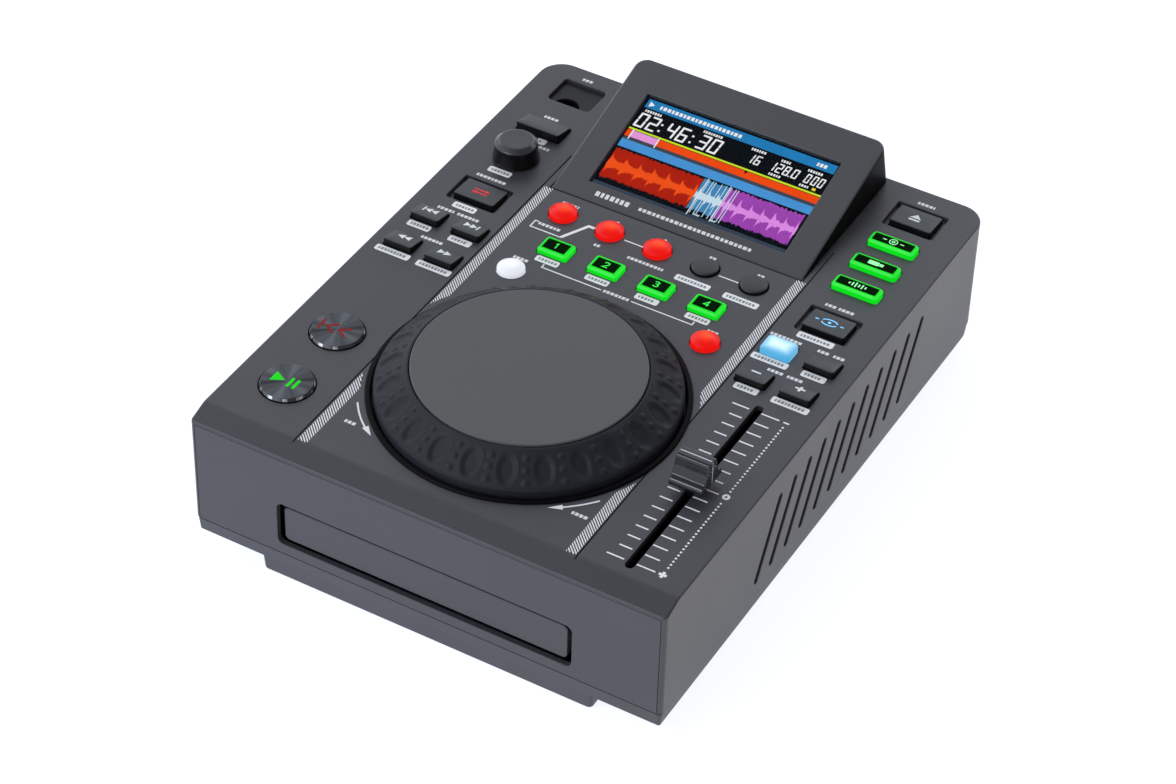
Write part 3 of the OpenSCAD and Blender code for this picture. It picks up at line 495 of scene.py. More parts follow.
CASE = surface("case_grey", (0.0497, 0.0494, 0.0592), rough=0.40, grain_mm=0.30, grain_um=5.0, tint=0.035)
BASE = surface("base_grey", (0.050, 0.0515, 0.058), rough=0.46, grain_mm=0.4, grain_um=8.0, tint=0.06)
# near-black copy of the hood grey for the hood's side walls: painted shade
HOOD_SIDE_SHADE = surface("hood_side_painted_shade", (0.0042, 0.0040, 0.0056), rough=0.50, grain_mm=0.28, grain_um=5.0, tint=0.05, spec=0.04)
HOOD = surface("hood_grey", (0.0655, 0.0672, 0.0730), rough=0.36, grain_mm=0.28, grain_um=4.0, tint=0.03)
BEZEL = surface("bezel_grey", (0.0500, 0.0505, 0.0588), rough=0.40, grain_mm=0.3, grain_um=5.0, tint=0.035)
BLACK = surface("satin_black", (0.010, 0.010, 0.011), rough=0.36, grain_mm=0.3, grain_um=4.0, tint=0.08, wear_and_highlight=0.25)
DEEP = surface("matt_black", (0.0028, 0.0028, 0.003), rough=0.62, grain_mm=0.4, grain_um=8.0, tint=0.1, spec=0.12)
COLLAR = surface("collar_black", (0.0034, 0.0034, 0.0041), rough=0.42, grain_mm=0.35, grain_um=3.0, tint=0.06, wear_and_highlight=0.1, spec=0.06)
RUBBER = surface("jog_rubber", (0.0245, 0.0260, 0.0325), rough=0.48, grain_mm=0.22, grain_um=8.0, tint=0.10, wear_and_highlight=0.5, spec=0.15)
PLATE = surface("jog_plate_paint", (0.074, 0.0755, 0.0790), rough=0.44, grain_mm=0.18, grain_um=3.0, tint=0.03, rvar=0.03, wear_and_highlight=0.2)
KEY_TOP = surface("key_top", (0.029, 0.033, 0.0395), rough=0.40, grain_mm=0.2, grain_um=5.0, tint=0.05, wear_and_highlight=0.7)
# darker copy of the key plastic for cap sides: painted shade
KEY_SIDE_SHADE = surface("key_side_painted_shade", (0.0085, 0.0088, 0.0100), rough=0.42, grain_mm=0.2, grain_um=4.0, tint=0.06, spec=0.14)
KEY_ROUND = surface("key_round", (0.025, 0.0255, 0.0285), rough=0.42, grain_mm=0.2, grain_um=5.0, tint=0.05, wear_and_highlight=0.5)
LED_BLACK = surface("key_window", (0.0006, 0.0012, 0.0006), rough=0.5, grain_mm=0.25, grain_um=2.0, tint=0.1, spec=0.01,
                    emit=(0.0004, 0.0085, 0.0008), emit_k=1.0)
GREEN = surface("key_green_lit", (0.0, 0.06, 0.002), rough=0.34, grain_mm=0.3, grain_um=4.0, tint=0.1, spec=0.08,
                emit=(0.003, 0.74, 0.012), emit_k=1.0)
# brighter copy of the lit green for the chamfered rim: painted highlight
GREEN_EDGE_HIGHLIGHT = surface("key_green_edge_painted_highlight", (0.0, 0.06, 0.004), rough=0.3, grain_mm=0.3, grain_um=4.0, tint=0.1, spec=0.15,
                     emit=(0.032, 0.82, 0.052), emit_k=1.0)
# dimmer copy of the lit green for the foot below the panel: painted shade
GREEN_SHADE = surface("key_green_side_painted_shade", (0.0, 0.05, 0.002), rough=0.4, grain_mm=0.3, grain_um=4.0, tint=0.1, spec=0.08,
                    emit=(0.002, 0.58, 0.010), emit_k=1.0)
GREEN_MARK = surface("mark_green", (0.01, 0.2, 0.03), rough=0.4, grain_mm=0.3, grain_um=2.0, tint=0.1, spec=0.2,
                     emit=(0.02, 0.80, 0.05), emit_k=1.0)
# printed play mark given a glow though no lamp is under it: painted light
PLAY_PRINT_GLOW = surface("mark_play_green_painted_glow", (0.0, 0.08, 0.0), rough=0.4, grain_mm=0.3, grain_um=2.0, tint=0.1, spec=0.10,
                     emit=(0.010, 0.67, 0.012), emit_k=1.0)
PALE_MARK = surface("mark_pale_green", (0.2, 0.5, 0.25), rough=0.4, grain_mm=0.3, grain_um=2.0, tint=0.1, spec=0.2,
                    emit=(0.25, 0.85, 0.32), emit_k=1.0)
# printed cue mark given a faint glow though no lamp is under it: painted light
RED_PRINT_GLOW = surface("mark_red", (0.10, 0.006, 0.005), rough=0.4, grain_mm=0.3, grain_um=2.0, tint=0.1, spec=0.12,
                   emit=(0.155, 0.004, 0.004), emit_k=1.0)
RED_LED = surface("mark_red_lit", (0.4, 0.01, 0.01), rough=0.4, grain_mm=0.3, grain_um=2.0, tint=0.1, spec=0.3,
                  emit=(0.45, 0.006, 0.006), emit_k=1.0)
BLUE_MARK = surface("mark_blue", (0.1, 0.35, 0.7), rough=0.4, grain_mm=0.3, grain_um=2.0, tint=0.1, spec=0.3,
                    emit=(0.16, 0.48, 0.80), emit_k=1.0)
PRINT = surface("print_white", (0.92, 0.93, 0.95), rough=0.5, grain_mm=0.2, grain_um=3.0, tint=0.05, spec=0.35)
PRINT_SOFT = surface("print_grey", (0.82, 0.83, 0.86), rough=0.5, grain_mm=0.2, grain_um=3.0, tint=0.07, spec=0.35)
PRINT_DARK = surface("print_mark", (0.27, 0.28, 0.30), rough=0.5, grain_mm=0.2, grain_um=2.0, tint=0.1, spec=0.3)
KEY_MARK = surface("key_symbol", (0.86, 0.89, 0.93), rough=0.42, grain_mm=0.2, grain_um=2.0, tint=0.08, spec=0.4)
STEEL_BLACK = surface("plate_black", (0.018, 0.018, 0.019), rough=0.5, grain_mm=0.25, grain_um=9.0, tint=0.08)
FOOT = surface("foot_rubber", (0.012, 0.012, 0.012), rough=0.75, grain_mm=0.3, grain_um=14.0, tint=0.12)
ZINC = surface("zinc_sheet", (0.46, 0.46, 0.47), rough=0.36, grain_mm=0.8, grain_um=3.0, tint=0.10, rvar=0.09, metallic=1.0)
SCREW = surface("screw_steel", (0.40, 0.40, 0.42), rough=0.32, grain_mm=0.3, grain_um=3.0, tint=0.1, metallic=1.0, wear_and_highlight=0.4)
BRIGHT = surface("turned_steel", (0.60, 0.60, 0.62), rough=0.20, grain_mm=0.15, grain_um=1.5, tint=0.06, metallic=1.0)
BUSH = surface("sintered_bronze", (0.42, 0.31, 0.16), rough=0.45, grain_mm=0.2, grain_um=6.0, tint=0.12, metallic=1.0)
PCB = surface("board_green", (0.012, 0.075, 0.030), rough=0.30, grain_mm=0.5, grain_um=4.0, tint=0.2, coat=0.4)
CHIP = surface("chip_black", (0.012, 0.012, 0.013), rough=0.45, grain_mm=0.2, grain_um=5.0, tint=0.1)
NICKEL = surface("nickel_shell", (0.55, 0.55, 0.56), rough=0.25, grain_mm=0.3, grain_um=2.0, tint=0.06, metallic=1.0)
CAN = surface("capacitor_sleeve", (0.012, 0.02, 0.06), rough=0.3, grain_mm=0.4, grain_um=2.0, tint=0.1, coat=0.5)
TAPE = surface("winding_tape", (0.50, 0.33, 0.05), rough=0.4, grain_mm=0.6, grain_um=6.0, tint=0.15, coat=0.3)
ACETAL = surface("white_acetal", (0.70, 0.69, 0.64), rough=0.4, grain_mm=0.3, grain_um=3.0, tint=0.05)
TRAY = surface("tray_black", (0.020, 0.020, 0.022), rough=0.5, grain_mm=0.3, grain_um=10.0, tint=0.08)
ROCKER = surface("rocker_red", (0.42, 0.012, 0.010), rough=0.24, grain_mm=0.4, grain_um=2.0, tint=0.06, coat=0.4, wear_and_highlight=0.2)
FADER = surface("fader_grey", (0.0062, 0.0098, 0.0150), rough=0.24, grain_mm=0.3, grain_um=0.9, tint=0.05, wear_and_highlight=0.15, spec=0.36, coat=0.55,
                coat_rough=0.05)
LINE_WHITE = surface("inlay_white", (0.62, 0.64, 0.66), rough=0.4, grain_mm=0.2, grain_um=2.0, tint=0.05)
KNOB_M = surface("knob_side", (0.0045, 0.0045, 0.0052), rough=0.24, grain_mm=0.2, grain_um=3.0, tint=0.08, wear_and_highlight=0.2, spec=0.35)
KNOB_TOP = surface("knob_top", (0.034, 0.036, 0.040), rough=0.30, grain_mm=0.2, grain_um=3.0, tint=0.05, wear_and_highlight=0.3)
KNOB_EDGE = surface("knob_edge", (0.040, 0.043, 0.050), rough=0.18, grain_mm=0.2, grain_um=1.5, tint=0.05, wear_and_highlight=0.2)
LID = surface("lid_grey", (0.0105, 0.0105, 0.0118), rough=0.42, spec=0.22, grain_mm=0.25, grain_um=5.0, tint=0.05, wear_and_highlight=0.3)


def radial_glow(name, edge, centre, attr="glow", strength=1.0, base=(0.3, 0.01, 0.01)):
    """A lit translucent cap, paler over its lamp. The mesh carries 1 at the centre and 0 at the rim."""
    M = Mat(name)
    a = M.node("ShaderNodeAttribute", attribute_name=attr)
    k = M.remap(a.outputs["Fac"], 0.25, 1.0, 0.0, 1.0, True)
    mid = M.noise(160.0, 2.0)
    k = M.math("MULTIPLY", k, M.remap(mid, 0.3, 0.7, 0.9, 1.0))
    M.set("Base Color", M.mix(M.remap(mid, 0.3, 0.7, 0.0, 1.0), base, tuple(c * 1.2 for c in base)))
    M.set("Emission Color", M.mix(k, edge, centre))
    M.set("Emission Strength", strength)
    M.set("Roughness", M.remap(mid, 0.3, 0.7, 0.26, 0.36))
    M.set("Specular IOR Level", 0.18)
    M.set("Normal", M.bump(M.noise(3500.0), 3e-6, 0.5))
    return M.m


RED = radial_glow("dome_red_lit", (0.81, 0.006, 0.004), (1.05, 0.075, 0.010), base=(0.07, 0.001, 0.001))
WHITE = radial_glow("dome_white_lit", (0.60, 0.63, 0.68), (0.78, 0.81, 0.85), base=(0.3, 0.3, 0.31))
BLUE = radial_glow("key_blue_lit", (0.028, 0.34, 0.63), (0.95, 1.20, 1.30), base=(0.03, 0.10, 0.16))


def spun(name, cx, cy):
    """A turned metal face: fine rings about its own centre, and a painted fan of highlights in the base colour."""
    M = Mat(name)
    mp = M.node("ShaderNodeMapping")
    mp.inputs["Location"].default_value = (-cx * MM, -cy * MM, 0)
    M.l.new(M.tc.outputs["Object"], mp.inputs["Vector"])
    sep = M.node("ShaderNodeSeparateXYZ")
    M.l.new(mp.outputs[0], sep.inputs[0])
    rad = M.math("SQRT", M.math("ADD", M.math("MULTIPLY", sep.outputs[0], sep.outputs[0]),
                                M.math("MULTIPLY", sep.outputs[1], sep.outputs[1])))
    ring = M.node("ShaderNodeTexNoise", noise_dimensions="1D")
    ring.inputs["Scale"].default_value = 9000.0
    ring.inputs["Detail"].default_value = 2.0
    M.l.new(rad, ring.inputs["W"])
    ang = M.math("ARCTAN2", sep.outputs[1], sep.outputs[0])
    painted_light_sectors = M.node("ShaderNodeTexNoise", noise_dimensions="2D")
    painted_light_sectors.inputs["Scale"].default_value = 1.6
    painted_light_sectors.inputs["Detail"].default_value = 0.5
    cmb = M.node("ShaderNodeCombineXYZ")
    M.l.new(M.math("MULTIPLY", M.math("COSINE", M.math("MULTIPLY", ang, 2.0)), 0.75), cmb.inputs[0])
    M.l.new(M.math("MULTIPLY", M.math("SINE", M.math("MULTIPLY", ang, 2.0)), 0.75), cmb.inputs[1])
    M.l.new(cmb.outputs[0], painted_light_sectors.inputs["Vector"])
    # base colour from a painted fan of highlights set by the angle, mixed with the fine rings
    rings_and_painted_fan = M.math("ADD", M.math("MULTIPLY", painted_light_sectors.outputs["Fac"], 0.75), M.math("MULTIPLY", ring.outputs["Fac"], 0.25))
    M.set("Base Color", M.mix(M.remap(rings_and_painted_fan, 0.35, 0.65, 0.0, 1.0), (0.038, 0.041, 0.047), (0.105, 0.111, 0.123)))
    M.set("Metallic", 1.0)
    M.set("Roughness", M.remap(ring.outputs["Fac"], 0.3, 0.7, 0.28, 0.40))
    M.set("Anisotropic", 0.7)
    tan = M.node("ShaderNodeTangent", direction_type="RADIAL", axis="Z")
    M.set("Normal", M.bump(ring.outputs["Fac"], 4e-6, 0.4))
    return M.m


SPUN_PLAY = spun("spun_play_painted_fan", *TRANSPORTS[0])
SPUN_CUE = spun("spun_cue_painted_fan", *TRANSPORTS[1])


def turned_edge(name, cx, cy):
    """A polished bevel with short bright and dark lengths round it: painted glints and painted dark reflections in the
    base colour.
    """
    M = Mat(name)
    mp = M.node("ShaderNodeMapping")
    mp.inputs["Location"].default_value = (-cx * MM, -cy * MM, 0)
    M.l.new(M.tc.outputs["Object"], mp.inputs["Vector"])
    sep = M.node("ShaderNodeSeparateXYZ")
    M.l.new(mp.outputs[0], sep.inputs[0])
    ang = M.math("ARCTAN2", sep.outputs[1], sep.outputs[0])
    cmb = M.node("ShaderNodeCombineXYZ")
    M.l.new(M.math("MULTIPLY", M.math("COSINE", ang), 1.9), cmb.inputs[0])
    M.l.new(M.math("MULTIPLY", M.math("SINE", ang), 1.9), cmb.inputs[1])
    painted_light_sectors = M.node("ShaderNodeTexNoise", noise_dimensions="2D")
    painted_light_sectors.inputs["Scale"].default_value = 1.9
    painted_light_sectors.inputs["Detail"].default_value = 1.0
    M.l.new(cmb.outputs[0], painted_light_sectors.inputs["Vector"])
    fine = M.noise(3300.0, 2.0)
    # bright and dark lengths in the base colour: painted glints and painted dark reflections
    M.set("Base Color", M.mix(M.remap(painted_light_sectors.outputs["Fac"], 0.43, 0.55, 0.0, 1.0, True), (0.12, 0.125, 0.14), (0.84, 0.86, 0.89)))
    M.set("Metallic", 1.0)
    M.set("Roughness", M.remap(fine, 0.3, 0.7, 0.06, 0.12))
    M.set("Normal", M.bump(fine, 0.8e-6, 0.4))
    return M.m


EDGE_PLAY = turned_edge("edge_play_painted_glints", *TRANSPORTS[0])
EDGE_CUE = turned_edge("edge_cue_painted_glints", *TRANSPORTS[1])


def screen_mat(name, rgb, k=1.0, stripes=0.0):
    """A patch of the lit picture: a faint grid of picture cells over an even glow."""
    M = Mat(name)
    cell = M.noise(1400.0, 1.0)
    soft = M.noise(90.0, 2.0)
    c = M.mix(M.remap(M.math("ADD", M.math("MULTIPLY", cell, 0.5), M.math("MULTIPLY", soft, 0.5)), 0.3, 0.7, 0.0, 1.0),
              tuple(x * (0.90 - stripes) for x in rgb), tuple(min(1.0, x * 1.06) for x in rgb))
    M.set("Base Color", (0.0012, 0.0013, 0.0018))
    M.set("Specular IOR Level", 0.01)
    M.set("Emission Color", c)
    M.set("Emission Strength", k)
    M.set("Roughness", M.remap(soft, 0.3, 0.7, 0.3, 0.4))
    return M.m


S_BLACK = screen_mat("screen_black", (0.0011, 0.0030, 0.0056))
S_HEAD = screen_mat("screen_header", lin(34, 132, 196), stripes=0.1)
S_WHITE = screen_mat("screen_white", (0.92, 0.94, 0.96))
S_LINE = screen_mat("screen_line", lin(208, 235, 40))
S_ORANGE = screen_mat("screen_orange", lin(250, 76, 8))
S_PINK = screen_mat("screen_pink", lin(238, 158, 226))
S_GREY = screen_mat("screen_grey", lin(66, 72, 84))
S_BLUE = screen_mat("screen_blue", lin(74, 152, 220))
S_RED = screen_mat("screen_red", lin(186, 32, 6), stripes=0.12)
S_WAVE1 = screen_mat("screen_wave_orange", lin(252, 84, 20))
S_CYAN = screen_mat("screen_teal", lin(70, 142, 192), stripes=0.1)
S_WAVE2 = screen_mat("screen_wave_pale", lin(206, 232, 246))
S_PURPLE = screen_mat("screen_purple", lin(164, 72, 184), stripes=0.06)
S_WAVE3 = screen_mat("screen_wave_pink", lin(232, 146, 240))
S_FOOT = screen_mat("screen_footer", lin(56, 68, 84))
S_YELLOW = screen_mat("screen_yellow", lin(240, 220, 60))


def lens_mat():
    M = Mat("lens_glass")
    smear = M.noise(30.0, 4.0)
    M.set("Base Color", M.mix(M.remap(smear, 0.3, 0.7, 0.0, 1.0), (0.010, 0.010, 0.012), (0.014, 0.014, 0.016)))
    M.set("Alpha", M.remap(smear, 0.3, 0.7, 0.05, 0.07))
    M.set("IOR", 1.49)
    M.set("Roughness", M.remap(smear, 0.35, 0.7, 0.02, 0.05))
    M.set("Normal", M.bump(M.noise(200.0), 1e-7, 0.2))
    return M.m


LENS = lens_mat()

# ------------------------------------------------------------------ camera, floor, light
cam = bpy.data.cameras.new("view_camera")
cam.sensor_fit, cam.sensor_width = "HORIZONTAL", 36.0
cam.lens = 3474.064 / 1176.0 * 36.0
cam.clip_start, cam.clip_end = 0.05, 20.0
cam_ob = put(bpy.data.objects.new("view_camera", cam))
A, E, ROLL = math.radians(28.748), math.radians(40.976), math.radians(1.83)
back = Vector((math.sin(A) * math.cos(E), -math.cos(A) * math.cos(E), math.sin(E)))
right = (-back).cross(Vector((0, 0, 1))).normalized()
up = right.cross(-back).normalized()
r2 = right * math.cos(ROLL) + up * math.sin(ROLL)
u2 = -right * math.sin(ROLL) + up * math.cos(ROLL)
eye = Vector((-6.67, 0.0, 22.73)) * MM + back * 1.4897
cam_ob.matrix_world = Matrix((
    (r2.x, u2.x, back.x, eye.x), (r2.y, u2.y, back.y, eye.y), (r2.z, u2.z, back.z, eye.z), (0, 0, 0, 1)))
bpy.context.scene.camera = cam_ob
bpy.context.scene.view_settings.view_transform = "Standard"

fg = Geo()
loft(fg, [[(x, y, 0.0) for x, y in circ(6000.0, 96)], [(x, y, 0.0) for x, y in circ(1500.0, 96)],
          [(x, y, 0.0) for x, y in circ(20.0, 96)]], bottom=False, top=True)
fme = clean_mesh("floor", [(x * MM, y * MM, z * MM - 1e-5) for x, y, z in fg.v], fg.f)
floor = put(bpy.data.objects.new("floor", fme))
FM = Mat("floor_white")
fn = FM.noise(3.0, 2.0)
FM.set("Base Color", FM.mix(FM.remap(fn, 0.3, 0.7, 0.0, 1.0), (0.34, 0.34, 0.34), (0.36, 0.36, 0.36)))
FM.set("Roughness", 0.85)
FM.set("Specular IOR Level", 0.0)
fsep = FM.node("ShaderNodeSeparateXYZ")
FM.l.new(FM.tc.outputs["Object"], fsep.inputs[0])
FM.set("Emission Color", FM.mix(FM.remap(fsep.outputs[0], 0.02, 0.22, 0.0, 1.0, True), (0.93, 0.98, 1.13), (1.0, 1.0, 0.985)))
FM.set("Emission Strength", 0.90)
fme.materials.append(FM.m)
recalc(fme)

world = bpy.data.worlds.new("studio")
bpy.context.scene.world = world
world.use_nodes = True
wt = world.node_tree
bg = wt.nodes["Background"]
wtc = wt.nodes.new("ShaderNodeTexCoord")
wsep = wt.nodes.new("ShaderNodeSeparateXYZ")
wramp = wt.nodes.new("ShaderNodeValToRGB")
wt.links.new(wtc.outputs["Generated"], wsep.inputs[0])
wt.links.new(wsep.outputs[2], wramp.inputs[0])
wside = wt.nodes.new("ShaderNodeMapRange")
wside.interpolation_type = "SMOOTHSTEP"
for k, val in zip(("From Min", "From Max", "To Min", "To Max"), (-0.15, 0.50, 0.0, 1.0)):
    wside.inputs[k].default_value = val
wt.links.new(wsep.outputs[0], wside.inputs["Value"])
wtint = wt.nodes.new("ShaderNodeMix")
wtint.data_type = "RGBA"
wtint.inputs[6].default_value = (0.96, 0.99, 1.06, 1.0)
wtint.inputs[7].default_value = (0.22, 0.215, 0.20, 1.0)
wt.links.new(wside.outputs["Result"], wtint.inputs[0])
wmul = wt.nodes.new("ShaderNodeVectorMath")
wmul.operation = "MULTIPLY"
wt.links.new(wramp.outputs[0], wmul.inputs[0])
wt.links.new(wtint.outputs[2], wmul.inputs[1])
wt.links.new(wmul.outputs[0], bg.inputs["Color"])
cr = wramp.color_ramp
cr.elements[0].position, cr.elements[0].color = 0.0, (0.98, 0.99, 1.0, 1)
cr.elements[1].position, cr.elements[1].color = 1.0, (0.26, 0.26, 0.27, 1)
for pos, v in ((0.45, 1.0), (0.70, 1.0), (0.80, 0.80), (0.90, 0.36)):
    e = cr.elements.new(pos)
    e.color = (v * 0.99, v, v * 1.01, 1)
bg.inputs["Strength"].default_value = 1.08


def area(name, loc, target, size, watts, color=(1, 1, 1)):
    d = bpy.data.lights.new(name, "AREA")
    d.shape, d.size, d.size_y = "RECTANGLE", size[0], size[1]
    d.energy, d.color = watts, color
    o = put(bpy.data.objects.new(name, d))
    o.location = loc
    o.rotation_euler = (Vector(target) - Vector(loc)).to_track_quat("-Z", "Y").to_euler()
    return o


area("softbox_left", (-1.3, 0.5, 1.0), (0, 0, 0.05), (0.9, 0.9), 2.5, (1.0, 1.0, 1.0))
area("softbox_front", (-0.65, -1.18, 1.19), (0, 0, 0.05), (0.75, 0.45), 6.5, (0.86, 0.94, 1.0))
area("softbox_back", (0.4, 1.6, 1.1), (0, 0, 0.05), (1.4, 0.7), 4.5, (0.98, 0.99, 1.0))

# ------------------------------------------------------------------ upper shell
def prof(y):
    """Height of the shell's top at depth y: flat panel, a softly turned crease, then the front bevel."""
    c, s, b = -HD + BEV, DROP / BEV, 1.3
    t = y - c
    if t >= b:
        return PZ
    if t <= -b:
        return PZ + s * t
    return PZ - s * (b - t) ** 2 / (4 * b)


PLAN_Y = [-141.0, -138.5, -136.4, -136.0, -135.6, -135.2, -134.8, -134.4, -134.0, -133.6, -133.2, -130.0,
          -100.0, -60.0, -20.0, 20.0, 60.0, 100.0, 125.0]


def plan(inset, rf=2.0, rb=11.5, ys=PLAN_Y):
    w2, d2 = HW - inset, HD - inset
    rf, rb = max(rf - inset, 0.35), max(rb - inset, 0.5)
    pts = []
    for k in range(9):
        a = math.radians(-90 + 90.0 * k / 8)
        pts.append((w2 - rf + rf * math.cos(a), -d2 + rf + rf * math.sin(a)))
    for y in ys:
        pts.append((w2, y))
    for k in range(21):
        a = math.radians(90.0 * k / 20)
        pts.append((w2 - rb + rb * math.cos(a), d2 - rb + rb * math.sin(a)))
    return pts, [(-x, y) for x, y in reversed(pts)]


def shell_solid():
    g = Geo()
    EPS = -0.003
    rows = [(0.95, 8.0), (0.95, 15.50), (0.14, 15.55), (EPS, 15.70), (EPS, 40.0)]
    rings = [[(x, y, z) for x, y in sum(plan(i), [])] for i, z in rows]
    rf = 0.9
    for a in (0, 18, 36, 54, 72, 90):
        i = EPS + rf * (1 - math.cos(math.radians(a)))
        d = rf * (1 - math.sin(math.radians(a)))
        rings.append([(x, y, prof(y) - d + 0.003) for x, y in sum(plan(i), [])])
    n = len(rings[0])
    v, f = [], []
    for r in rings:
        v.extend(r)
    for i in range(len(rings) - 1):
        for j in range(n):
            a, b = i * n + j, i * n + (j + 1) % n
            f.append((a, b, b + n, a + n))
    f.append(tuple(reversed(range(n))))
    o, h = (len(rings) - 1) * n, n // 2
    for k in range(h - 1):
        f.append((o + k, o + k + 1, o + n - 2 - k, o + n - 1 - k))
    g.add(v, f)
    return raw(g, "shell_solid")


outer = shell_solid()
top = cad_copy("top_case")
boolean(top, outer, "INTERSECT")
cut = Geo()
up_tf = lambda cx, cy: (lambda p: (p[0] + cx, p[1] + cy, PZ + p[2]))
for (x, y), kw in [(q, KS) for q in SMALL] + [(q, KW) for q in HOTS]:
    flare(cut, lambda o, kw=kw: rrect(kw + 2 * GAP + 2 * o, KD + 2 * GAP + 2 * o, 1 + o), 0.35, up_tf(x, y))
for x, y in DOMES:
    flare(cut, lambda o: circ(DOME / 2 + GAP + o, 72), 0.35, up_tf(x, y))
for x, y in TRANSPORTS:
    flare(cut, lambda o: circ(TRANS / 2 + GAP + o, 96), 0.4, up_tf(x, y))
for x, y in SOURCES:
    flare(cut, lambda o: rrect(SRC_W + 2 * GAP + 2 * o, 8 + 2 * GAP + 2 * o, 1.6 + o), 0.35, up_tf(x, y))
flare(cut, lambda o: rrect(BACK[2] + 2 * GAP + 2 * o, BACK[3] + 2 * GAP + 2 * o, 1 + o), 0.4, up_tf(BACK[0], BACK[1]))
for x, y, w, d in SQUARES:
    flare(cut, lambda o: rrect(w + 2 * o, d + 2 * o, 1.2 + o), 0.45, up_tf(x, y))
flare(cut, lambda o: stadium(SLOT_L + 2 * o, SLOT_W + 2 * o, 90), 0.3, up_tf(FX, FMID))
flare(cut, lambda o: circ(3.75 + o, 48), 0.3, up_tf(*KNOB))
flare(cut, lambda o: rrect(21.4 + 2 * o, 17.4 + 2 * o, 2.2 + o), 0.6, up_tf(*USB))
for s in (-1, 1):
    for i in range(11):
        cy = -58.0 + 13.0 * i
        flare(cut, lambda o: stadium(40 + 2 * o, 3.4 + 2 * o, 62), 0.4,
              lambda p, s=s, cy=cy: (s * (HW + p[2]), cy + p[0], 40.5 + p[1]))
flare(cut, lambda o: rrect(138.2 + 2 * o, 22.1 + 2 * o, 3 + o), 0.3, lambda p: (p[0], -HD - p[2], 31.65 + p[1]))
flare(cut, lambda o: rrect(188 + 2 * o, 42 + 2 * o, 0.05 + max(o, 0)), 0.5, lambda p: (p[0], HD + p[2], 39 + p[1]))
# shadow line in the panel round the foot of the display hood
for x0, x1, y0, y1 in ((-62.35, 62.35, 60.35, 60.95), (-62.35, -61.82, 60.95, 132.0), (61.82, 62.35, 60.95, 132.0)):
    cxx, cyy = (x0 + x1) / 2, (y0 + y1) / 2
    loft(cut, [[(x + cxx, y + cyy, z) for x, y in rrect(x1 - x0 + e, y1 - y0 + e, 0.05, 1)]
               for z, e in ((PZ - 0.7, -0.1), (PZ - 0.12, 0.0), (PZ + 0.6, 0.9))])
# fine gap round the front face, where the moulding meets the bevel and the two side walls
zt = PZ - DROP - 1.5
xo, xi = HW - 1.9, HW - 2.22
loft(cut, [[(x, yy, z) for x, z in ((-xo, 12.0), (-xi, 12.0), (-xi, zt - 0.16), (xi, zt - 0.16), (xi, 12.0), (xo, 12.0),
                                    (xo, zt + 0.16), (-xo, zt + 0.16))] for yy in (-HD + 0.45, -HD - 0.5)])
cutter = raw(cut, "cutter")
boolean(top, cutter, "DIFFERENCE")
tidy(top)
top.name = "upper_shell"
top.data.materials.append(CASE)
shade(top, 34)
flat_faces(top)
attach(top, "housing")
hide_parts("top_case")
drop(outer, cutter)

# ------------------------------------------------------------------ lower shell
g = Geo()
rows = [(1.8, 8.0), (1.35, 8.12), (1.06, 8.42), (0.94, 8.9), (0.32, 14.96)]
rings = [[(x, y, z) for x, y in sum(plan(i, ys=[-100, 0, 100]), [])] for i, z in rows]
loft(g, rings)
low = raw(g, "low_solid")
g = Geo()
rows = [(1.5, 0.6), (1.02, 0.72), (0.66, 1.02), (0.50, 1.5), (0.0, 9.2)]
rings = [[(x, y - 37.80, z) for x, y in rrect(157.0 - 2 * i, 212.5 - 2 * i, 2.0, 6)] for i, z in rows]
loft(g, rings)
bay = raw(g, "bay_solid")
boolean(low, bay, "UNION")
bottom = cad_copy("bottom_case")
boolean(bottom, low, "INTERSECT")
tidy(bottom)
bottom.name = "lower_shell"
bottom.data.materials.append(BASE)
shade(bottom, 34)
flat_faces(bottom)
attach(bottom, "housing")
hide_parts("bottom_case")
drop(low, bay)

# ------------------------------------------------------------------ display hood
def hood_outline(i):
    """Face outline shrunk by i: square lower corners, large upper corners."""
    w2, r = DISP_W / 2 - i, 6.0 - i
    pts = [(w2, -30.0)]
    for k in range(13):
        a = math.radians(90.0 * k / 12)
        pts.append((w2 - r + r * math.cos(a), DISP_L - i - r + r * math.sin(a)))
    pts += [(-x, y) for x, y in reversed(pts)]
    return pts


g = Geo()
rf = 1.1
rows = [(-0.003, -62.0), (-0.003, -rf + 0.003)]
for a in (18, 36, 54, 72, 90):
    rows.append((-0.003 + rf * (1 - math.cos(math.radians(a))), -rf * (1 - math.sin(math.radians(a))) + 0.003))
loft(g, [[on_display((x, y, z)) for x, y in hood_outline(i)] for i, z in rows])
hs = raw(g, "hood_solid")
hood = cad_copy("display_housing")
boolean(hood, hs, "INTERSECT")
g = Geo()
flare(g, lambda o: rrect(LENS_W + 0.3 + 2 * o, LENS_L + 0.3 + 2 * o, 0.05 + max(o, 0)), 0.35,
      lambda p: on_display((p[0], p[1] + 9.9 + LENS_L / 2, p[2])))
hc = raw(g, "hood_cut")
boolean(hood, hc, "DIFFERENCE")
tidy(hood)
hood.name = "display_hood"
hood.data.materials.append(HOOD)
hood.data.materials.append(HOOD_SIDE_SHADE)
# faces of the side walls take the near-black copy of the hood grey: painted shade
for pl in hood.data.polygons:
    if abs(pl.normal.x) > 0.75 and abs(pl.center.x) > (DISP_W / 2 - 1.2) * MM:
        pl.material_index = 1
shade(hood, 34)
flat_faces(hood)
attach(hood, "housing")
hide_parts("display_housing")
drop(hs, hc)

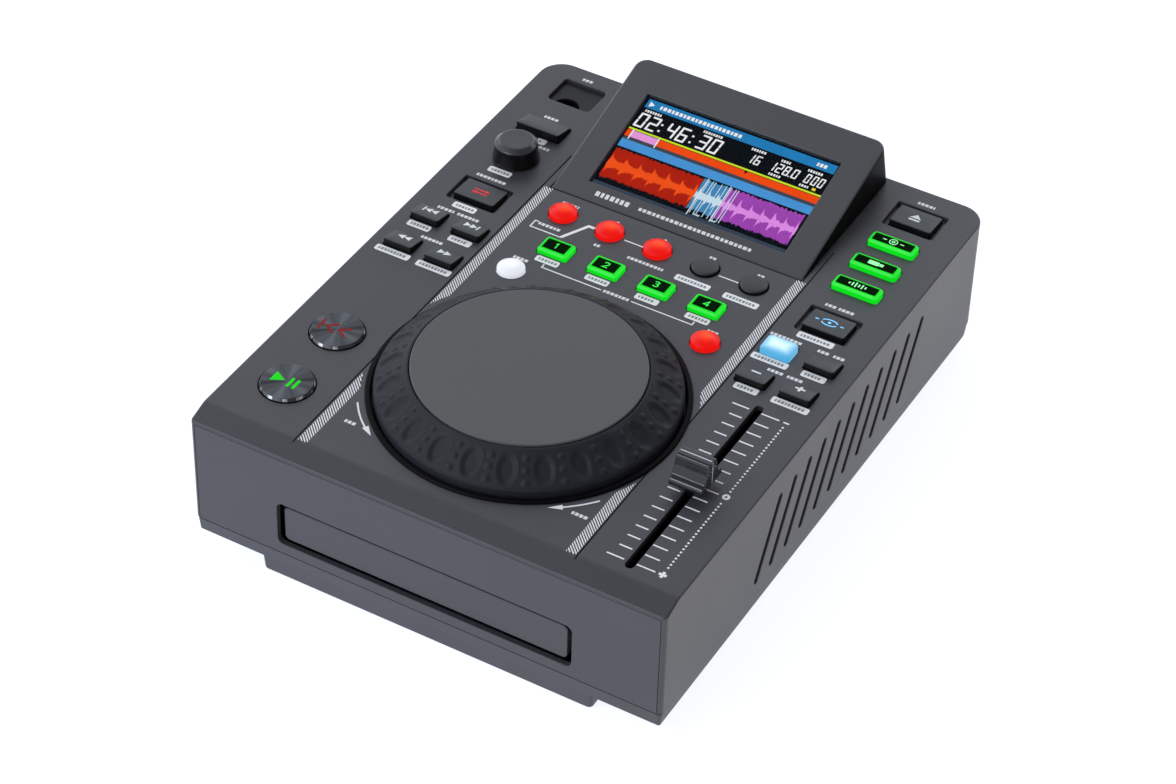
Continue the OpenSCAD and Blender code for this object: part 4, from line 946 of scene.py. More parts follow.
# window glass with ground edges
g = Geo()
lens_tf = lambda p: on_display((p[0], p[1] + 9.9 + LENS_L / 2, p[2]))
loft(g, [[lens_tf((x, y, z)) for x, y in rrect(LENS_W - 2 * i, LENS_L - 2 * i, 0.4, 3)]
         for i, z in ((0.15, -1.7), (0.0, -1.55), (0.0, -0.35), (0.15, -0.2))])
piece("window_glass", g, [LENS], "housing", ["display_lens"])

# display panel: steel frame, board, and the lit picture as thin coloured cells
g = Geo()
for (w, d, r, z0, z1, dy, mt) in ((105.5, 67.2, 1.2, -6.2, -3.2, 0, 0), (95.0, 49.7, 0.6, -2.9, -2.05, 1.4, 1),
                                  (90.0, 50.0, 1.0, -8.3, -6.7, 4, 2)):
    loft(g, [[lens_tf((x, y + dy, z)) for x, y in rrect(w - 2 * i, d - 2 * i, r, 3)]
             for i, z in ((0.2, z0), (0.0, z0 + 0.2), (0.0, z1 - 0.2), (0.2, z1))], mats=mt)
piece("display_panel", g, [ZINC, S_BLACK, PCB], "housing", ["lcd_module"])

W, H = 96.2, 54.0
scr = Geo()
SM = [S_BLACK, S_HEAD, S_WHITE, S_LINE, S_ORANGE, S_PINK, S_GREY, S_BLUE, S_RED, S_WAVE1, S_CYAN, S_WAVE2, S_PURPLE, S_WAVE3,
      S_FOOT, S_YELLOW]
scr_tf = lambda p: on_display((-W / 2 + p[0], 9.75 + H - p[1], -2.0 + p[2]))


def cell(u0, u1, v0, v1, m, lay=1):
    """A rectangle of the picture: u across, v down from the top, in fractions."""
    prism(scr, [(u0 * W, v1 * H), (u1 * W, v1 * H), (u1 * W, v0 * H), (u0 * W, v0 * H)], 0.0, 0.0, 0.015 * lay, m, scr_tf)


def seg_digit(ch, u, v, w, h, t, m=2, lay=3, lean=0.10):
    """A seven-bar numeral in millimetres from the picture's top left corner."""
    on = {"0": "abcdef", "1": "bc", "2": "abged", "3": "abgcd", "4": "fgbc", "5": "afgcd", "6": "afgedc", "7": "abc",
          "8": "abcdefg", "9": "abfgcd", "-": "g"}[ch]
    a, b = t / 2, 0.18
    bars = {"a": ((b, a), (w - b, a)), "g": ((b, h / 2), (w - b, h / 2)), "d": ((b, h - a), (w - b, h - a)),
            "f": ((a, b), (a, h / 2 - b)), "b": ((w - a, b), (w - a, h / 2 - b)),
            "e": ((a, h / 2 + b), (a, h - b)), "c": ((w - a, h / 2 + b), (w - a, h - b))}
    for k in on:
        (x0, y0), (x1, y1) = bars[k]
        f = lambda x, y: (u + x + (h - y) * lean, v + y)
        ribbon(scr, [f(x0, y0), f(x1, y1)], t, 0.0, 0.0, 0.015 * lay, m, scr_tf)


def ticks(u, v, length, m=2, h=1.1, w=0.9, gap=0.42, lay=2):
    """A row of plain ticks where the real screen has small words."""
    x = u
    k = 0
    while x + w <= u + length + 0.01:
        ww = w * (1.0 if k % 3 else 0.7)
        prism(scr, [(x, v + h), (x + ww, v + h), (x + ww, v), (x, v)], 0.0, 0.0, 0.015 * lay, m, scr_tf)
        x += ww + gap
        k += 1


cell(0.0, 1.0, 0.0, 1.0, 0, 0.4)
cell(0.012, 0.988, 0.02, 0.112, 1, 1)
prism(scr, [(2.6, 5.2), (5.2, 3.75), (2.6, 2.1)], 0.0, 0.0, 0.03, 2, scr_tf)
ticks(8.0, 2.7, 41.0, 2, 1.9, 1.5, 0.62)
ticks(86.0, 2.7, 6.5, 2, 1.9, 1.4, 0.5)
ticks(2.6, 7.0, 9.0, 2, 1.3)
for ch, u in zip("024630", (1.2, 7.0, 16.2, 22.0, 32.2, 38.0)):
    seg_digit(ch, u, 9.2, 4.5, 8.2, 0.95)
for u in (13.0, 28.6):
    for v in (11.6, 15.2):
        prism(scr, [(u, v + 1.0), (u + 1.0, v + 1.0), (u + 1.0, v), (u, v)], 0.0, 0.0, 0.04, 2, scr_tf)
ticks(32.0, 7.0, 10.0, 2, 1.3)
ticks(56.0, 7.0, 8.0, 2, 1.3)
seg_digit("1", 56.5, 10.0, 2.6, 5.2, 0.62)
seg_digit("6", 60.0, 10.0, 2.6, 5.2, 0.62)
ticks(71.0, 7.6, 5.0, 2, 1.3)
for ch, u in zip("1280", (67.2, 70.7, 74.2, 78.4)):
    seg_digit(ch, u, 10.0, 2.6, 5.2, 0.62)
prism(scr, [(77.2, 15.2), (77.8, 15.2), (77.8, 14.6), (77.2, 14.6)], 0.0, 0.0, 0.04, 2, scr_tf)
ticks(84.0, 7.6, 8.0, 2, 1.3)
for ch, u in zip("000", (84.6, 88.0, 91.2)):
    seg_digit(ch, u, 10.0, 2.3, 5.2, 0.6)
ticks(69.0, 16.3, 6.5, 2, 1.2)
ticks(84.0, 16.3, 5.0, 2, 1.2)
prism(scr, [(90.2, 17.6), (91.9, 17.6), (91.9, 16.2), (90.2, 16.2)], 0.0, 0.0, 0.04, 15, scr_tf)
cell(0.006, 0.994, 0.344, 0.362, 3, 1)
cell(0.006, 0.994, 0.368, 0.438, 4, 1)
cell(0.035, 0.165, 0.368, 0.438, 5, 2)
cell(0.030, 0.036, 0.358, 0.462, 2, 3)
cell(0.165, 0.171, 0.358, 0.462, 2, 3)
cell(0.006, 0.994, 0.438, 0.472, 6, 1)
cell(0.006, 0.994, 0.472, 0.556, 7, 1)
prism(scr, [(58.8, 19.9), (60.4, 19.9), (59.6, 21.6)], 0.0, 0.0, 0.045, 0, scr_tf)


def hsh(i, k=0):
    x = math.sin(i * 12.9898 + k * 78.233) * 43758.5453
    return x - math.floor(x)


def wave(u0, u1, mid, amp, m, seedk, base=0.25, lay=3, step=0.30, period=9.0):
    """Mirror-image bars of a made-up sound level about a middle line."""
    n = int((u1 - u0) * W / step)
    top, bot = [], []
    for i in range(n + 1):
        x = u0 * W + i * step
        beat = math.exp(-(((x + seedk * 3.1) % period) / (period * 0.16)))
        e = base + (1 - base) * beat * (0.7 + 0.3 * hsh(i // 3, seedk)) + 0.16 * hsh(i, seedk + 1)
        top.append((x, mid * H - amp * e))
        bot.append((x, mid * H + amp * e * (0.9 + 0.2 * hsh(i, seedk + 2))))
    v, f = [], []
    for (a, b) in zip(top, bot):
        for p in (a, b):
            v.append(scr_tf((p[0], p[1], 0.0)))
            v.append(scr_tf((p[0], p[1], 0.015 * lay)))
    for i in range(n):
        o = i * 4
        f += [(o + 1, o + 3, o + 7, o + 5), (o, o + 4, o + 6, o + 2), (o, o + 1, o + 5, o + 4), (o + 2, o + 6, o + 7, o + 3)]
    f += [(0, 2, 3, 1), (n * 4, n * 4 + 1, n * 4 + 3, n * 4 + 2)]
    scr.add(v, f, m)


def ragged(u0, u1, v0, v1, m, seedk, lay=1, step=0.45, jag=1.1):
    """A block of the picture with uneven top and bottom edges."""
    n = int((u1 - u0) * W / step)
    v, f = [], []
    for i in range(n + 1):
        x = u0 * W + i * step
        a = v0 * H + jag * hsh(i, seedk)
        b = v1 * H - jag * hsh(i, seedk + 5)
        for y in (a, b):
            v.append(scr_tf((x, y, 0.0)))
            v.append(scr_tf((x, y, 0.015 * lay)))
    for i in range(n):
        o = i * 4
        f += [(o + 1, o + 3, o + 7, o + 5), (o, o + 4, o + 6, o + 2), (o, o + 1, o + 5, o + 4), (o + 2, o + 6, o + 7, o + 3)]
    f += [(0, 2, 3, 1), (n * 4, n * 4 + 1, n * 4 + 3, n * 4 + 2)]
    scr.add(v, f, m)


ragged(0.012, 0.468, 0.565, 0.905, 8, 1, jag=1.4)
ragged(0.468, 0.602, 0.565, 0.905, 10, 2, jag=1.4)
ragged(0.602, 0.985, 0.565, 0.905, 12, 3, jag=1.4)
wave(0.012, 0.468, 0.745, 6.2, 9, 4, 0.20, period=7.0)
wave(0.468, 0.602, 0.745, 5.2, 11, 5, 0.22, period=4.4)
wave(0.602, 0.985, 0.745, 5.8, 13, 6, 0.15, period=5.6)
for u in (0.492, 0.512, 0.524, 0.556, 0.581, 0.606, 0.628, 0.641):
    cell(u, u + 0.0035, 0.570, 0.930, 11, 4)
cell(0.484, 0.488, 0.560, 0.955, 2, 4)
cell(0.598, 0.602, 0.560, 0.945, 2, 4)
ticks(0.512 * W, 0.922 * H, 4.0, 11, 0.9, 0.7, 0.3, 4)
ticks(0.60 * W, 0.922 * H, 3.4, 11, 0.9, 0.7, 0.3, 4)
cell(0.006, 0.994, 0.945, 0.990, 14, 1)
piece("screen_picture", scr, SM, "housing", sharp=60, weighted=False)

# ------------------------------------------------------------------ connector plate, feet, boards, drive
def plain(node, *mats):
    """A carried-over CAD node with a finished material."""
    ob = NODES[node]
    if len(ob.material_slots) == 0:
        ob.data.materials.append(mats[0])
    for i, s in enumerate(ob.material_slots):
        s.link = "OBJECT"
        s.material = mats[min(i, len(mats) - 1)]
    return ob


def by_island(node, name, body, mats, rule, bevel=0.0, sharp=30.0, board_top=None):
    """A copy of a node whose separate solids take materials by place. rule(lo, hi) gives the material number.
    With board_top the faces up to that height are the bare board, and each part standing on it counts as a solid."""
    ob = cad_copy(node, dissolve=bevel > 0)
    me = ob.data
    bm = bmesh.new()
    bm.from_mesh(me)
    bm.faces.ensure_lookup_table()
    seen = set()
    if board_top is not None:
        for f in bm.faces:
            if max(v.co.z for v in f.verts) <= (board_top + 0.02) * MM:
                f.material_index = 0
                seen.add(f.index)
    for f in bm.faces:
        if f.index in seen:
            continue
        stack, isl = [f], []
        seen.add(f.index)
        while stack:
            q = stack.pop()
            isl.append(q)
            for e in q.edges:
                for o in e.link_faces:
                    if o.index not in seen:
                        seen.add(o.index)
                        stack.append(o)
        co = [v.co / MM for q in isl for v in q.verts]
        lo = Vector((min(c.x for c in co), min(c.y for c in co), min(c.z for c in co)))
        hi = Vector((max(c.x for c in co), max(c.y for c in co), max(c.z for c in co)))
        k = rule(lo, hi)
        for q in isl:
            q.material_index = k
    bm.to_mesh(me)
    bm.free()
    for m in mats:
        me.materials.append(m)
    ob.name = name
    if bevel > 0:
        b = ob.modifiers.new("edges", "BEVEL")
        b.width, b.segments, b.limit_method, b.angle_limit = bevel * MM, 2, "ANGLE", math.radians(40)
        b.use_clamp_overlap = True
    shade(ob, sharp)
    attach(ob, body)
    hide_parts(node)
    return ob


def board_rule(lo, hi):
    s = hi - lo
    if s.x > 60 and s.z < 3:
        return 0
    if hi.y > 143:
        return 1                      # phono jacks
    if hi.y > 136 and s.x > 10 and lo.x < -9:
        return 2                      # device port shell
    if abs(s.x - s.y) < 0.2 and s.z > 8 and s.x < 7:
        return 4
    return 3


by_island("main_board", "signal_board", "housing", [PCB, NICKEL, NICKEL, CHIP, CAN], board_rule, 0.15, board_top=21.6)


def key_board_rule(lo, hi):
    s = hi - lo
    if s.z < 2.2 and (s.x > 15 or s.y > 12):
        return 0
    if s.z > 12 and s.x < 14 and lo.z < 50:
        return 1
    if lo.x < -90 and s.z > 10 and abs(s.x - 12) < 0.5:
        return 1
    return 2


by_island("panel_boards", "control_boards", "housing", [PCB, NICKEL, CHIP], key_board_rule, 0.0)


def supply_rule(lo, hi):
    s = hi - lo
    if s.x > 60:
        return 0
    if abs(s.x - s.y) < 0.2:
        return 1
    if s.x > 25:
        return 2
    if s.x < 5:
        return 3
    return 4


by_island("power_supply", "supply_board", "housing", [PCB, CAN, TAPE, ZINC, CHIP], supply_rule, 0.2, board_top=17.6)
by_island("case_screws", "assembly_screws", "housing", [SCREW], lambda lo, hi: 0, 0.12)
by_island("rear_panel", "connector_plate", "housing", [STEEL_BLACK], lambda lo, hi: 0, 0.18)
by_island("power_inlet", "mains_inlet_body", "housing", [BLACK], lambda lo, hi: 0, 0.3)
by_island("drive_chassis", "drive_frame", "housing", [ZINC, NICKEL], lambda lo, hi: 1 if hi.x - lo.x < 25 else 0, 0.2)
by_island("traverse_frame", "laser_frame", "traverse", [ZINC, BRIGHT, CHIP],
          lambda lo, hi: 0 if hi.x - lo.x > 60 else (1 if hi.x - lo.x < 4 else 2), 0.2)
by_island("disc_tray", "sliding_tray", "tray", [TRAY], lambda lo, hi: 0, 0.22)
plain("jog_bearing", BUSH)
plain("jog_hub", BRIGHT)
plain("fader_body", DEEP)
plain("encoder_plunger", ACETAL)
plain("tray_gear", ACETAL)
plain("spindle_hub", BRIGHT)
plain("pickup_sled", CHIP)
plain("lead_screw", BRIGHT)
plain("clamp_puck", CHIP)

g = Geo()
for sx in (-88, 88):
    for sy in (-121, 121):
        p = round_prof([(1.55, 7.95), (1.55, 4.2), (4.2, 4.2), (4.2, 0.0), (7.2, 0.0), (8.0, 1.0), (8.0, 7.95), (1.55, 7.95)],
                       [0, 0, 0.2, 0.5, 0.6, 0.5, 0.4, 0])
        revolve(g, p, 48, sx, sy)
piece("rubber_feet", g, [FOOT], "housing", ["feet"])

# coloured sleeves and centre pins seen in the rear jacks
JACK_W = surface("jack_white", (0.62, 0.62, 0.60), rough=0.35, grain_mm=0.3, grain_um=2.0, tint=0.05)
JACK_R = surface("jack_red", (0.42, 0.015, 0.012), rough=0.35, grain_mm=0.3, grain_um=2.0, tint=0.05)
JACK_O = surface("jack_orange", (0.60, 0.16, 0.012), rough=0.35, grain_mm=0.3, grain_um=2.0, tint=0.05)


def back_revolve(geo, prof, x, z, n=40, mats=0):
    """Like revolve, about a line that runs to the rear at x, z. prof is (r, y)."""
    t = Geo()
    revolve(t, prof, n, 0, 0, mats)
    geo.add([(x + a, c, z - b) for a, b, c in t.v], t.f, t.m)


g = Geo()
for k, x in enumerate((-80, -62, -44)):
    back_revolve(g, [(1.75, 136.0), (3.0, 136.0), (3.0, 142.6), (2.7, 143.1), (2.0, 143.1), (1.75, 142.8), (1.75, 136.0)],
                 x, 31, 40, k)
    back_revolve(g, [(4.15, 136.6), (6.3, 136.6), (6.5, 136.4), (6.5, 136.15), (4.15, 136.15), (4.15, 136.6)], x, 31, 6, 3)
back_revolve(g, [(3.25, 136.15), (5.2, 136.15), (5.2, 137.3), (4.9, 137.6), (3.45, 137.6), (3.25, 137.3), (3.25, 136.15)], 10, 28, 40, 3)
piece("jack_sleeves", g, [JACK_W, JACK_R, JACK_O, NICKEL], "housing")

# tray bezel
g = Geo()
bz = lambda p: (p[0], -140.02 - 3.5 - p[2], 31.65 + p[1])
rows = [(0.0, -3.5), (0.0, -0.45)]
for a in (30, 60, 90):
    rows.append((0.45 * (1 - math.cos(math.radians(a))), -0.45 * (1 - math.sin(math.radians(a)))))
loft(g, [[bz((x, y, z)) for x, y in rrect(132.8 - 2 * i, 17.4 - 2 * i, 2.2 - i * 0.8, 8)] for i, z in rows])
piece("tray_front", g, [BEZEL], "tray", ["tray_bezel"])

# mains rocker: a curved cap with a dot and a dash moulded on it
g = Geo()
rk = math.radians(-7)
tfr = lambda p: (p[0], 131.0 + p[1] * math.cos(rk) - p[2] * math.sin(rk), 38.0 + p[1] * math.sin(rk) + p[2] * math.cos(rk))
pr = [(-2.0, -7.6), (7.0, -8.7)]
for k in range(9):
    t = -8.3 + 16.6 * k / 8
    pr.append((6.3 + 1.25 * (t / 8.3) ** 2, t))
pr += [(7.0, 8.7), (-2.0, 7.6)]
rings = []
for x, s in ((71.4, 0.94), (71.7, 0.985), (72.2, 1.0), (83.8, 1.0), (84.3, 0.985), (84.6, 0.94)):
    rings.append([tfr((x, 2.5 + (a - 2.5) * s, b * s)) for a, b in pr])
loft(g, rings)
t = Geo()
revolve(t, [(0, 0), (1.05, 0), (1.2, 0.15), (1.2, 17.05), (1.05, 17.2), (0, 17.2)], 24)
g.add([tfr((69.4 + c, a, b)) for a, b, c in t.v], t.f, 0)
rs = lambda h: (lambda p: tfr((78 + p[0], 6.3 + 1.25 * (p[1] / 8.3) ** 2 + h * p[2], p[1])))
for o in (stadium(3.4, 0.8, 90, 5, 0, 5.0),):
    loft(g, [[rs(1)((x, y, -0.2)) for x, y in o], [rs(1)((x, y, 0.12)) for x, y in o]], mats=1)
ro, ri = circ(1.6, 28, 0, -5.0), circ(1.1, 28, 0, -5.0)
v = [rs(1)((x, y, h)) for h in (-0.2, 0.12) for x, y in ro + ri]
f = []
for k in range(28):
    k2 = (k + 1) % 28
    f += [(k, k2, 56 + k2, 56 + k), (28 + k2, 28 + k, 84 + k, 84 + k2), (56 + k, 56 + k2, 84 + k2, 84 + k), (k2, k, 28 + k, 28 + k2)]
g.add(v, f, 1)
piece("power_rocker_cap", g, [ROCKER, LINE_WHITE], "rocker", ["power_rocker"])

# memory-stick flap with its thumb notch
g = Geo()
py, pz = USB[1] + 6.6, PZ - 2.6


def lid_outline(i):
    w2, r = 10.3 - i, max(2.2 - i, 0.4)
    y0, y1 = USB[1] - 8.4 + i, USB[1] + 6.6 - i
    pts = []
    cx, cy, cr_ = -1.2, USB[1] - 8.6, 6.3 + i
    for k in range(7):
        a = math.radians(-90 + 15 * k)
        pts.append((w2 - r + r * math.cos(a), y0 + r + r * math.sin(a)))
    for k in range(7):
        a = math.radians(15 * k)
        pts.append((w2 - r + r * math.cos(a), y1 - r + r * math.sin(a)))
    for k in range(7):
        a = math.radians(90 + 15 * k)
        pts.append((-w2 + r + r * math.cos(a), y1 - r + r * math.sin(a)))
    for k in range(7):
        a = math.radians(180 + 15 * k)
        pts.append((-w2 + r + r * math.cos(a), y0 + r + r * math.sin(a)))
    h = math.sqrt(max(cr_ ** 2 - (y0 - cy) ** 2, 0.01))
    a0 = math.atan2(y0 - cy, -h)
    a1 = math.atan2(y0 - cy, h)
    for k in range(17):
        a = a0 + (a1 - a0) * k / 16
        pts.append((cx + cr_ * math.cos(a), cy + cr_ * math.sin(a)))
    return [(x + USB[0], y) for x, y in pts]


loft(g, [[(x, y, pz + z) for x, y in lid_outline(i)] for i, z in
         ((0.25, -0.5), (0.0, -0.25), (0.0, 0.45), (0.1, 0.68), (0.32, 0.8))])
t = Geo()
revolve(t, [(0, -11.6), (0.5, -11.6), (0.6, -11.5), (0.6, -9.8), (0.85, -9.8), (0.95, -9.7), (0.95, 9.7), (0.85, 9.8), (0.6, 9.8),
            (0.6, 11.5), (0.5, 11.6), (0, 11.6)], 28)
g.add([(USB[0] + c, py + a, pz + b) for a, b, c in t.v], t.f, 0)
piece("stick_flap", g, [LID], "usb_lid", ["usb_cover"])

# ------------------------------------------------------------------ jog wheel
g = Geo()
pc = round_prof([(64.3, -4.9), (66.4, -4.9), (66.4, 0.06), (66.95, 0.06), (66.95, 0.6), (66.35, 1.1), (64.9, 1.1), (64.3, 0.6), (64.3, -4.9)],
                [0, 0.2, 0, 0.05, 0.3, 0.3, 0.3, 0.3, 0], 4)
revolve(g, [(r, PZ + z) for r, z in pc], 192, 0, JY)
piece("jog_ring", g, [COLLAR], "housing", ["jog_collar"])

NA, FL = 960, 44
prof_out = [(JOG_R - 2.6, -4.6), (JOG_R - 0.4, -4.6), (JOG_R, -4.2), (JOG_R, -2.0), (JOG_R, 1.6)]
c0 = round_prof([(JOG_R, 1.6), (JOG_R, 3.6), (62.8, 4.9), (57.0, 9.1)], [0, 0.8, 0.9, 0], 6)
prof_out += c0[1:-1]
fl0, fl1 = Vector(c0[-2]), Vector((51.1, 13.37))
flank_start = len(prof_out) - 1
for k in range(1, FL + 1):
    q = fl0 + (fl1 - fl0) * (k / FL)
    prof_out.append((q.x, q.y))
flank_end = len(prof_out) - 1
prof_out += round_prof([tuple(fl1), (50.5, 13.8), (49.9, 14.2), (49.4, 14.2)], [0, 0.4, 0.4, 0], 4)[1:]
prof_out += [(49.1, 14.1), (48.97, 13.8), (48.95, 12.4), (4.1, 12.3), (4.1, 10.2), (50.2, 10.2), (60.9, 0.8)]
n_prof = len(prof_out)
fd = (fl1 - fl0)
flen = fd.length
fd.normalize()
fnrm = Vector((fd.y, -fd.x))
if fnrm.x < 0:
    fnrm = -fnrm
v, f = [], []


def sstep(a, b, x):
    t = max(0.0, min(1.0, (x - a) / (b - a)))
    return t * t * (3 - 2 * t)


def rim_relief(s, ang):
    """Height of the grip pattern: s runs from 0 at the foot of the slope to 1 at its top."""
    step = 2 * math.pi / 24
    d = 0.0
    ang += step / 2 + math.radians(0.7)
    x = s * flen
    rr_ = fl0.x + (fl1.x - fl0.x) * s
    # long oval hollows
    a = (ang + step / 2) % step - step / 2
    u, w = a * rr_, x - flen * 0.48
    q = math.sqrt((u / 4.1) ** 2 + (w / 6.7) ** 2)
    d -= 1.00 * (1 - sstep(0.52, 1.06, q))
    d += 0.06 * math.exp(-((q - 1.14) / 0.10) ** 2)
    # three studs between hollows
    a = ang % step - step / 2
    for cx_, rad in ((0.13, 1.65), (0.49, 1.6), (0.84, 1.5)):
        u, w = a * rr_, x - flen * cx_
        q = math.hypot(u, w) / rad
        if q < 1.25:
            d += 0.60 * (1 - sstep(0.15, 1.20, q))
    # the pattern fades out at both ends of the slope
    d *= sstep(0.0, 0.05, s) * (1 - sstep(0.95, 1.0, s))
    return d


for i in range(NA):
    ang = 2 * math.pi * i / NA
    ca, sa = math.cos(ang), math.sin(ang)
    for k, (r, z) in enumerate(prof_out):
        if flank_start < k <= flank_end:
            d = rim_relief((k - flank_start) / FL, ang)
            r, z = r + fnrm.x * d, z + fnrm.y * d
        v.append((r * ca, JY + r * sa, PZ + z))
for i in range(NA):
    j = (i + 1) % NA
    for k in range(n_prof):
        k2 = (k + 1) % n_prof
        f.append((i * n_prof + k, j * n_prof + k, j * n_prof + k2, i * n_prof + k2))
g = Geo()
g.add(v, f)
piece("jog_rim", g, [RUBBER], "jog", ["jog_wheel"], sharp=50, weighted=False)

g = Geo()
pp = [(0, 12.4), (PLATE_R - 0.3, 12.4), (PLATE_R, 12.7), (PLATE_R, PLATE_H - 0.5)]
pp += arc(PLATE_R - 0.5, PLATE_H - 0.5, 0.5, 15, 90, 5)
pp += [(40.0, PLATE_H), (24.0, PLATE_H), (8.0, PLATE_H), (0, PLATE_H)]
revolve(g, [(r, PZ + z) for r, z in pp], 256, 0, JY)
piece("jog_top_plate", g, [PLATE], "jog", ["jog_plate"])

# ------------------------------------------------------------------ fader cap and encoder knob
def cap_profile():
    pts = [(-8.4, 4.6), (-8.6, 4.8)]
    pts += [(-6.1 + 2.5 * math.cos(math.radians(d)), 5.5 + 2.5 * math.sin(math.radians(d))) for d in range(180, 99, -8)]
    pts += [(-6.14, 8.10), (-5.78, 8.42), (-5.44, 8.96), (-5.08, 9.75), (-4.74, 10.6), (-4.4, 11.4), (-4.12, 12.3), (-3.9, 13.2), (-3.64, 14.1), (-3.4, 15.0),
           (-3.26, 15.6), (-3.04, 16.06), (-2.7, 16.38), (-2.25, 16.56), (-1.7, 16.6)]
    return pts + [(-y, z) for y, z in reversed(pts)]


pr = cap_profile()
g = Geo()
rings = []
for x, s in ((-7.5, 0.40), (-7.4, 0.16), (-7.12, 0.0), (7.12, 0.0), (7.4, 0.16), (7.5, 0.40)):
    ring = []
    for i, (y, z) in enumerate(pr):
        p0, p1 = Vector(pr[i - 1]), Vector(pr[(i + 1) % len(pr)])
        d = (p1 - p0).normalized()
        nrm = Vector((d.y, -d.x))
        ring.append((FX + x, FY + y + nrm.x * s, PZ + z + nrm.y * s))
    rings.append(ring)
loft(g, rings)
loft(g, [[(FX + x, FY + y, z) for x, y in rrect(3.0, 8.0, 0.3, 3)] for z in (60.0, PZ + 6.4)], mats=1)
loft(g, [[(FX + x, FY + y, z) for x, y in rrect(10 - 2 * i, 12 - 2 * i, 0.8, 3)] for i, z in
         ((0.3, 58.6), (0, 58.9), (0, 63.3), (0.3, 63.6))], mats=1)
# position line along the ridge and down both ends
prism(g, [(FX + x, FY + y) for x, y in rrect(14.1, 0.55, 0.1, 2)], PZ + 16.6, -0.1, 0.05, 2)
for s in (-1, 1):
    loft(g, [[(FX + s * (7.5 + h), FY + a, PZ + b) for a, b in rrect(0.55, 10.8, 0.1, 2, 0, 10.9)] for h in (-0.1, 0.05)], mats=2)
piece("fader_grip", g, [FADER, DEEP, LINE_WHITE], "fader", ["fader_cap"], sharp=38)

g = Geo()
kp = [(0, 62.4), (2.8, 62.4), (3.0, 62.6), (3.0, PZ + 6.6), (8.0, PZ + 6.6), (8.6, PZ + 0.8)]
kp += [(10.3, PZ + 0.8), (10.5, PZ + 1.0), (10.5, PZ + 1.5), (10.28, PZ + 2.4), (9.96, PZ + 4.2), (9.74, PZ + 6.6), (9.62, PZ + 8.1),
       (9.52, PZ + 8.5)]
side_n = len(kp) - 1
kp += [(9.36, PZ + 8.8), (9.1, PZ + 9.05), (7.95, PZ + 9.98), (7.7, PZ + 10.17), (7.4, PZ + 10.32)]
edge_n = len(kp) - 1 - side_n
kp += [(7.0, PZ + 10.39), (6.4, PZ + 10.39), (4.0, PZ + 10.33), (0, PZ + 10.3)]
revolve(g, kp, 96, KNOB[0], KNOB[1], [0] * side_n + [2] * edge_n + [1] * 30)
piece("push_knob", g, [KNOB_M, KNOB_TOP, KNOB_EDGE], "encoder", ["encoder_knob"], sharp=28)


# ------------------------------------------------------------------ keys
SW_Z = PZ - 10.6 + 3.7


def foot(geo, x, y, w, d, zf, m, round_=False):
    o = (lambda i: circ(w / 2 + 0.85 - i, 48, x, y)) if round_ else (lambda i: rrect(w + 1.7 - 2 * i, d + 1.7 - 2 * i, 1.2, 4, x, y))
    loft(geo, [[(a, b, z) for a, b in o(i)] for i, z in ((0.15, zf - 1.7), (0, zf - 1.55), (0, zf - 0.55), (0.15, zf - 0.4))], mats=m)
    loft(geo, [[(a, b, z) for a, b in rrect(3.6, 3.6, 0.3, 2, x, y)] for z in (SW_Z + 1.1, zf - 0.5)], mats=m)


def cap(geo, outline, x, y, z0, top_fn, rf=0.5, inner=(), m_side=1, m_top=0, steps=5, lip=0.0):
    """A key cap: straight sides, a rounded edge of radius rf and a shaped top. The sides and the lower half of the
    rounded edge take m_side, on most keys a darker copy of the cap plastic: painted shade. outline(i) is the outline
    shrunk by i.
    """
    rings, mats = [], []
    P = lambda i, dz: [(a + x, b + y, top_fn(a, b) - dz) for a, b in outline(i)]
    rings.append([(a + x, b + y, z0) for a, b in outline(0)])
    rings.append(P(0, rf))
    mats.append(m_side)
    for k in range(1, steps + 1):
        an = math.pi / 2 * k / steps
        rings.append(P(rf * (1 - math.cos(an)), rf * (1 - math.sin(an))))
        mats.append(m_side if k <= steps // 2 else m_top)
    for i in inner:
        rings.append(P(i, 0.0))
        mats.append(m_top)
    loft(geo, rings, mats=mats, mat_top=m_top)


def wedge(w, d, hf, hb, dish=0.0):
    """Top of a wedge key in its own frame: low at the back, rising in a soft curve to the front."""
    def fn(a, b):
        t = (b + d / 2) / d
        return PZ + hb + (hf - hb) * (1 - max(0.0, t) ** 1.7) - dish * (1 - (2 * a / w) ** 2)
    return fn


def tri(cx, cy, w, h, s):
    """A triangle pointing along s * x."""
    return [(cx - s * w / 2, cy - h / 2), (cx + s * w / 2, cy), (cx - s * w / 2, cy + h / 2)]


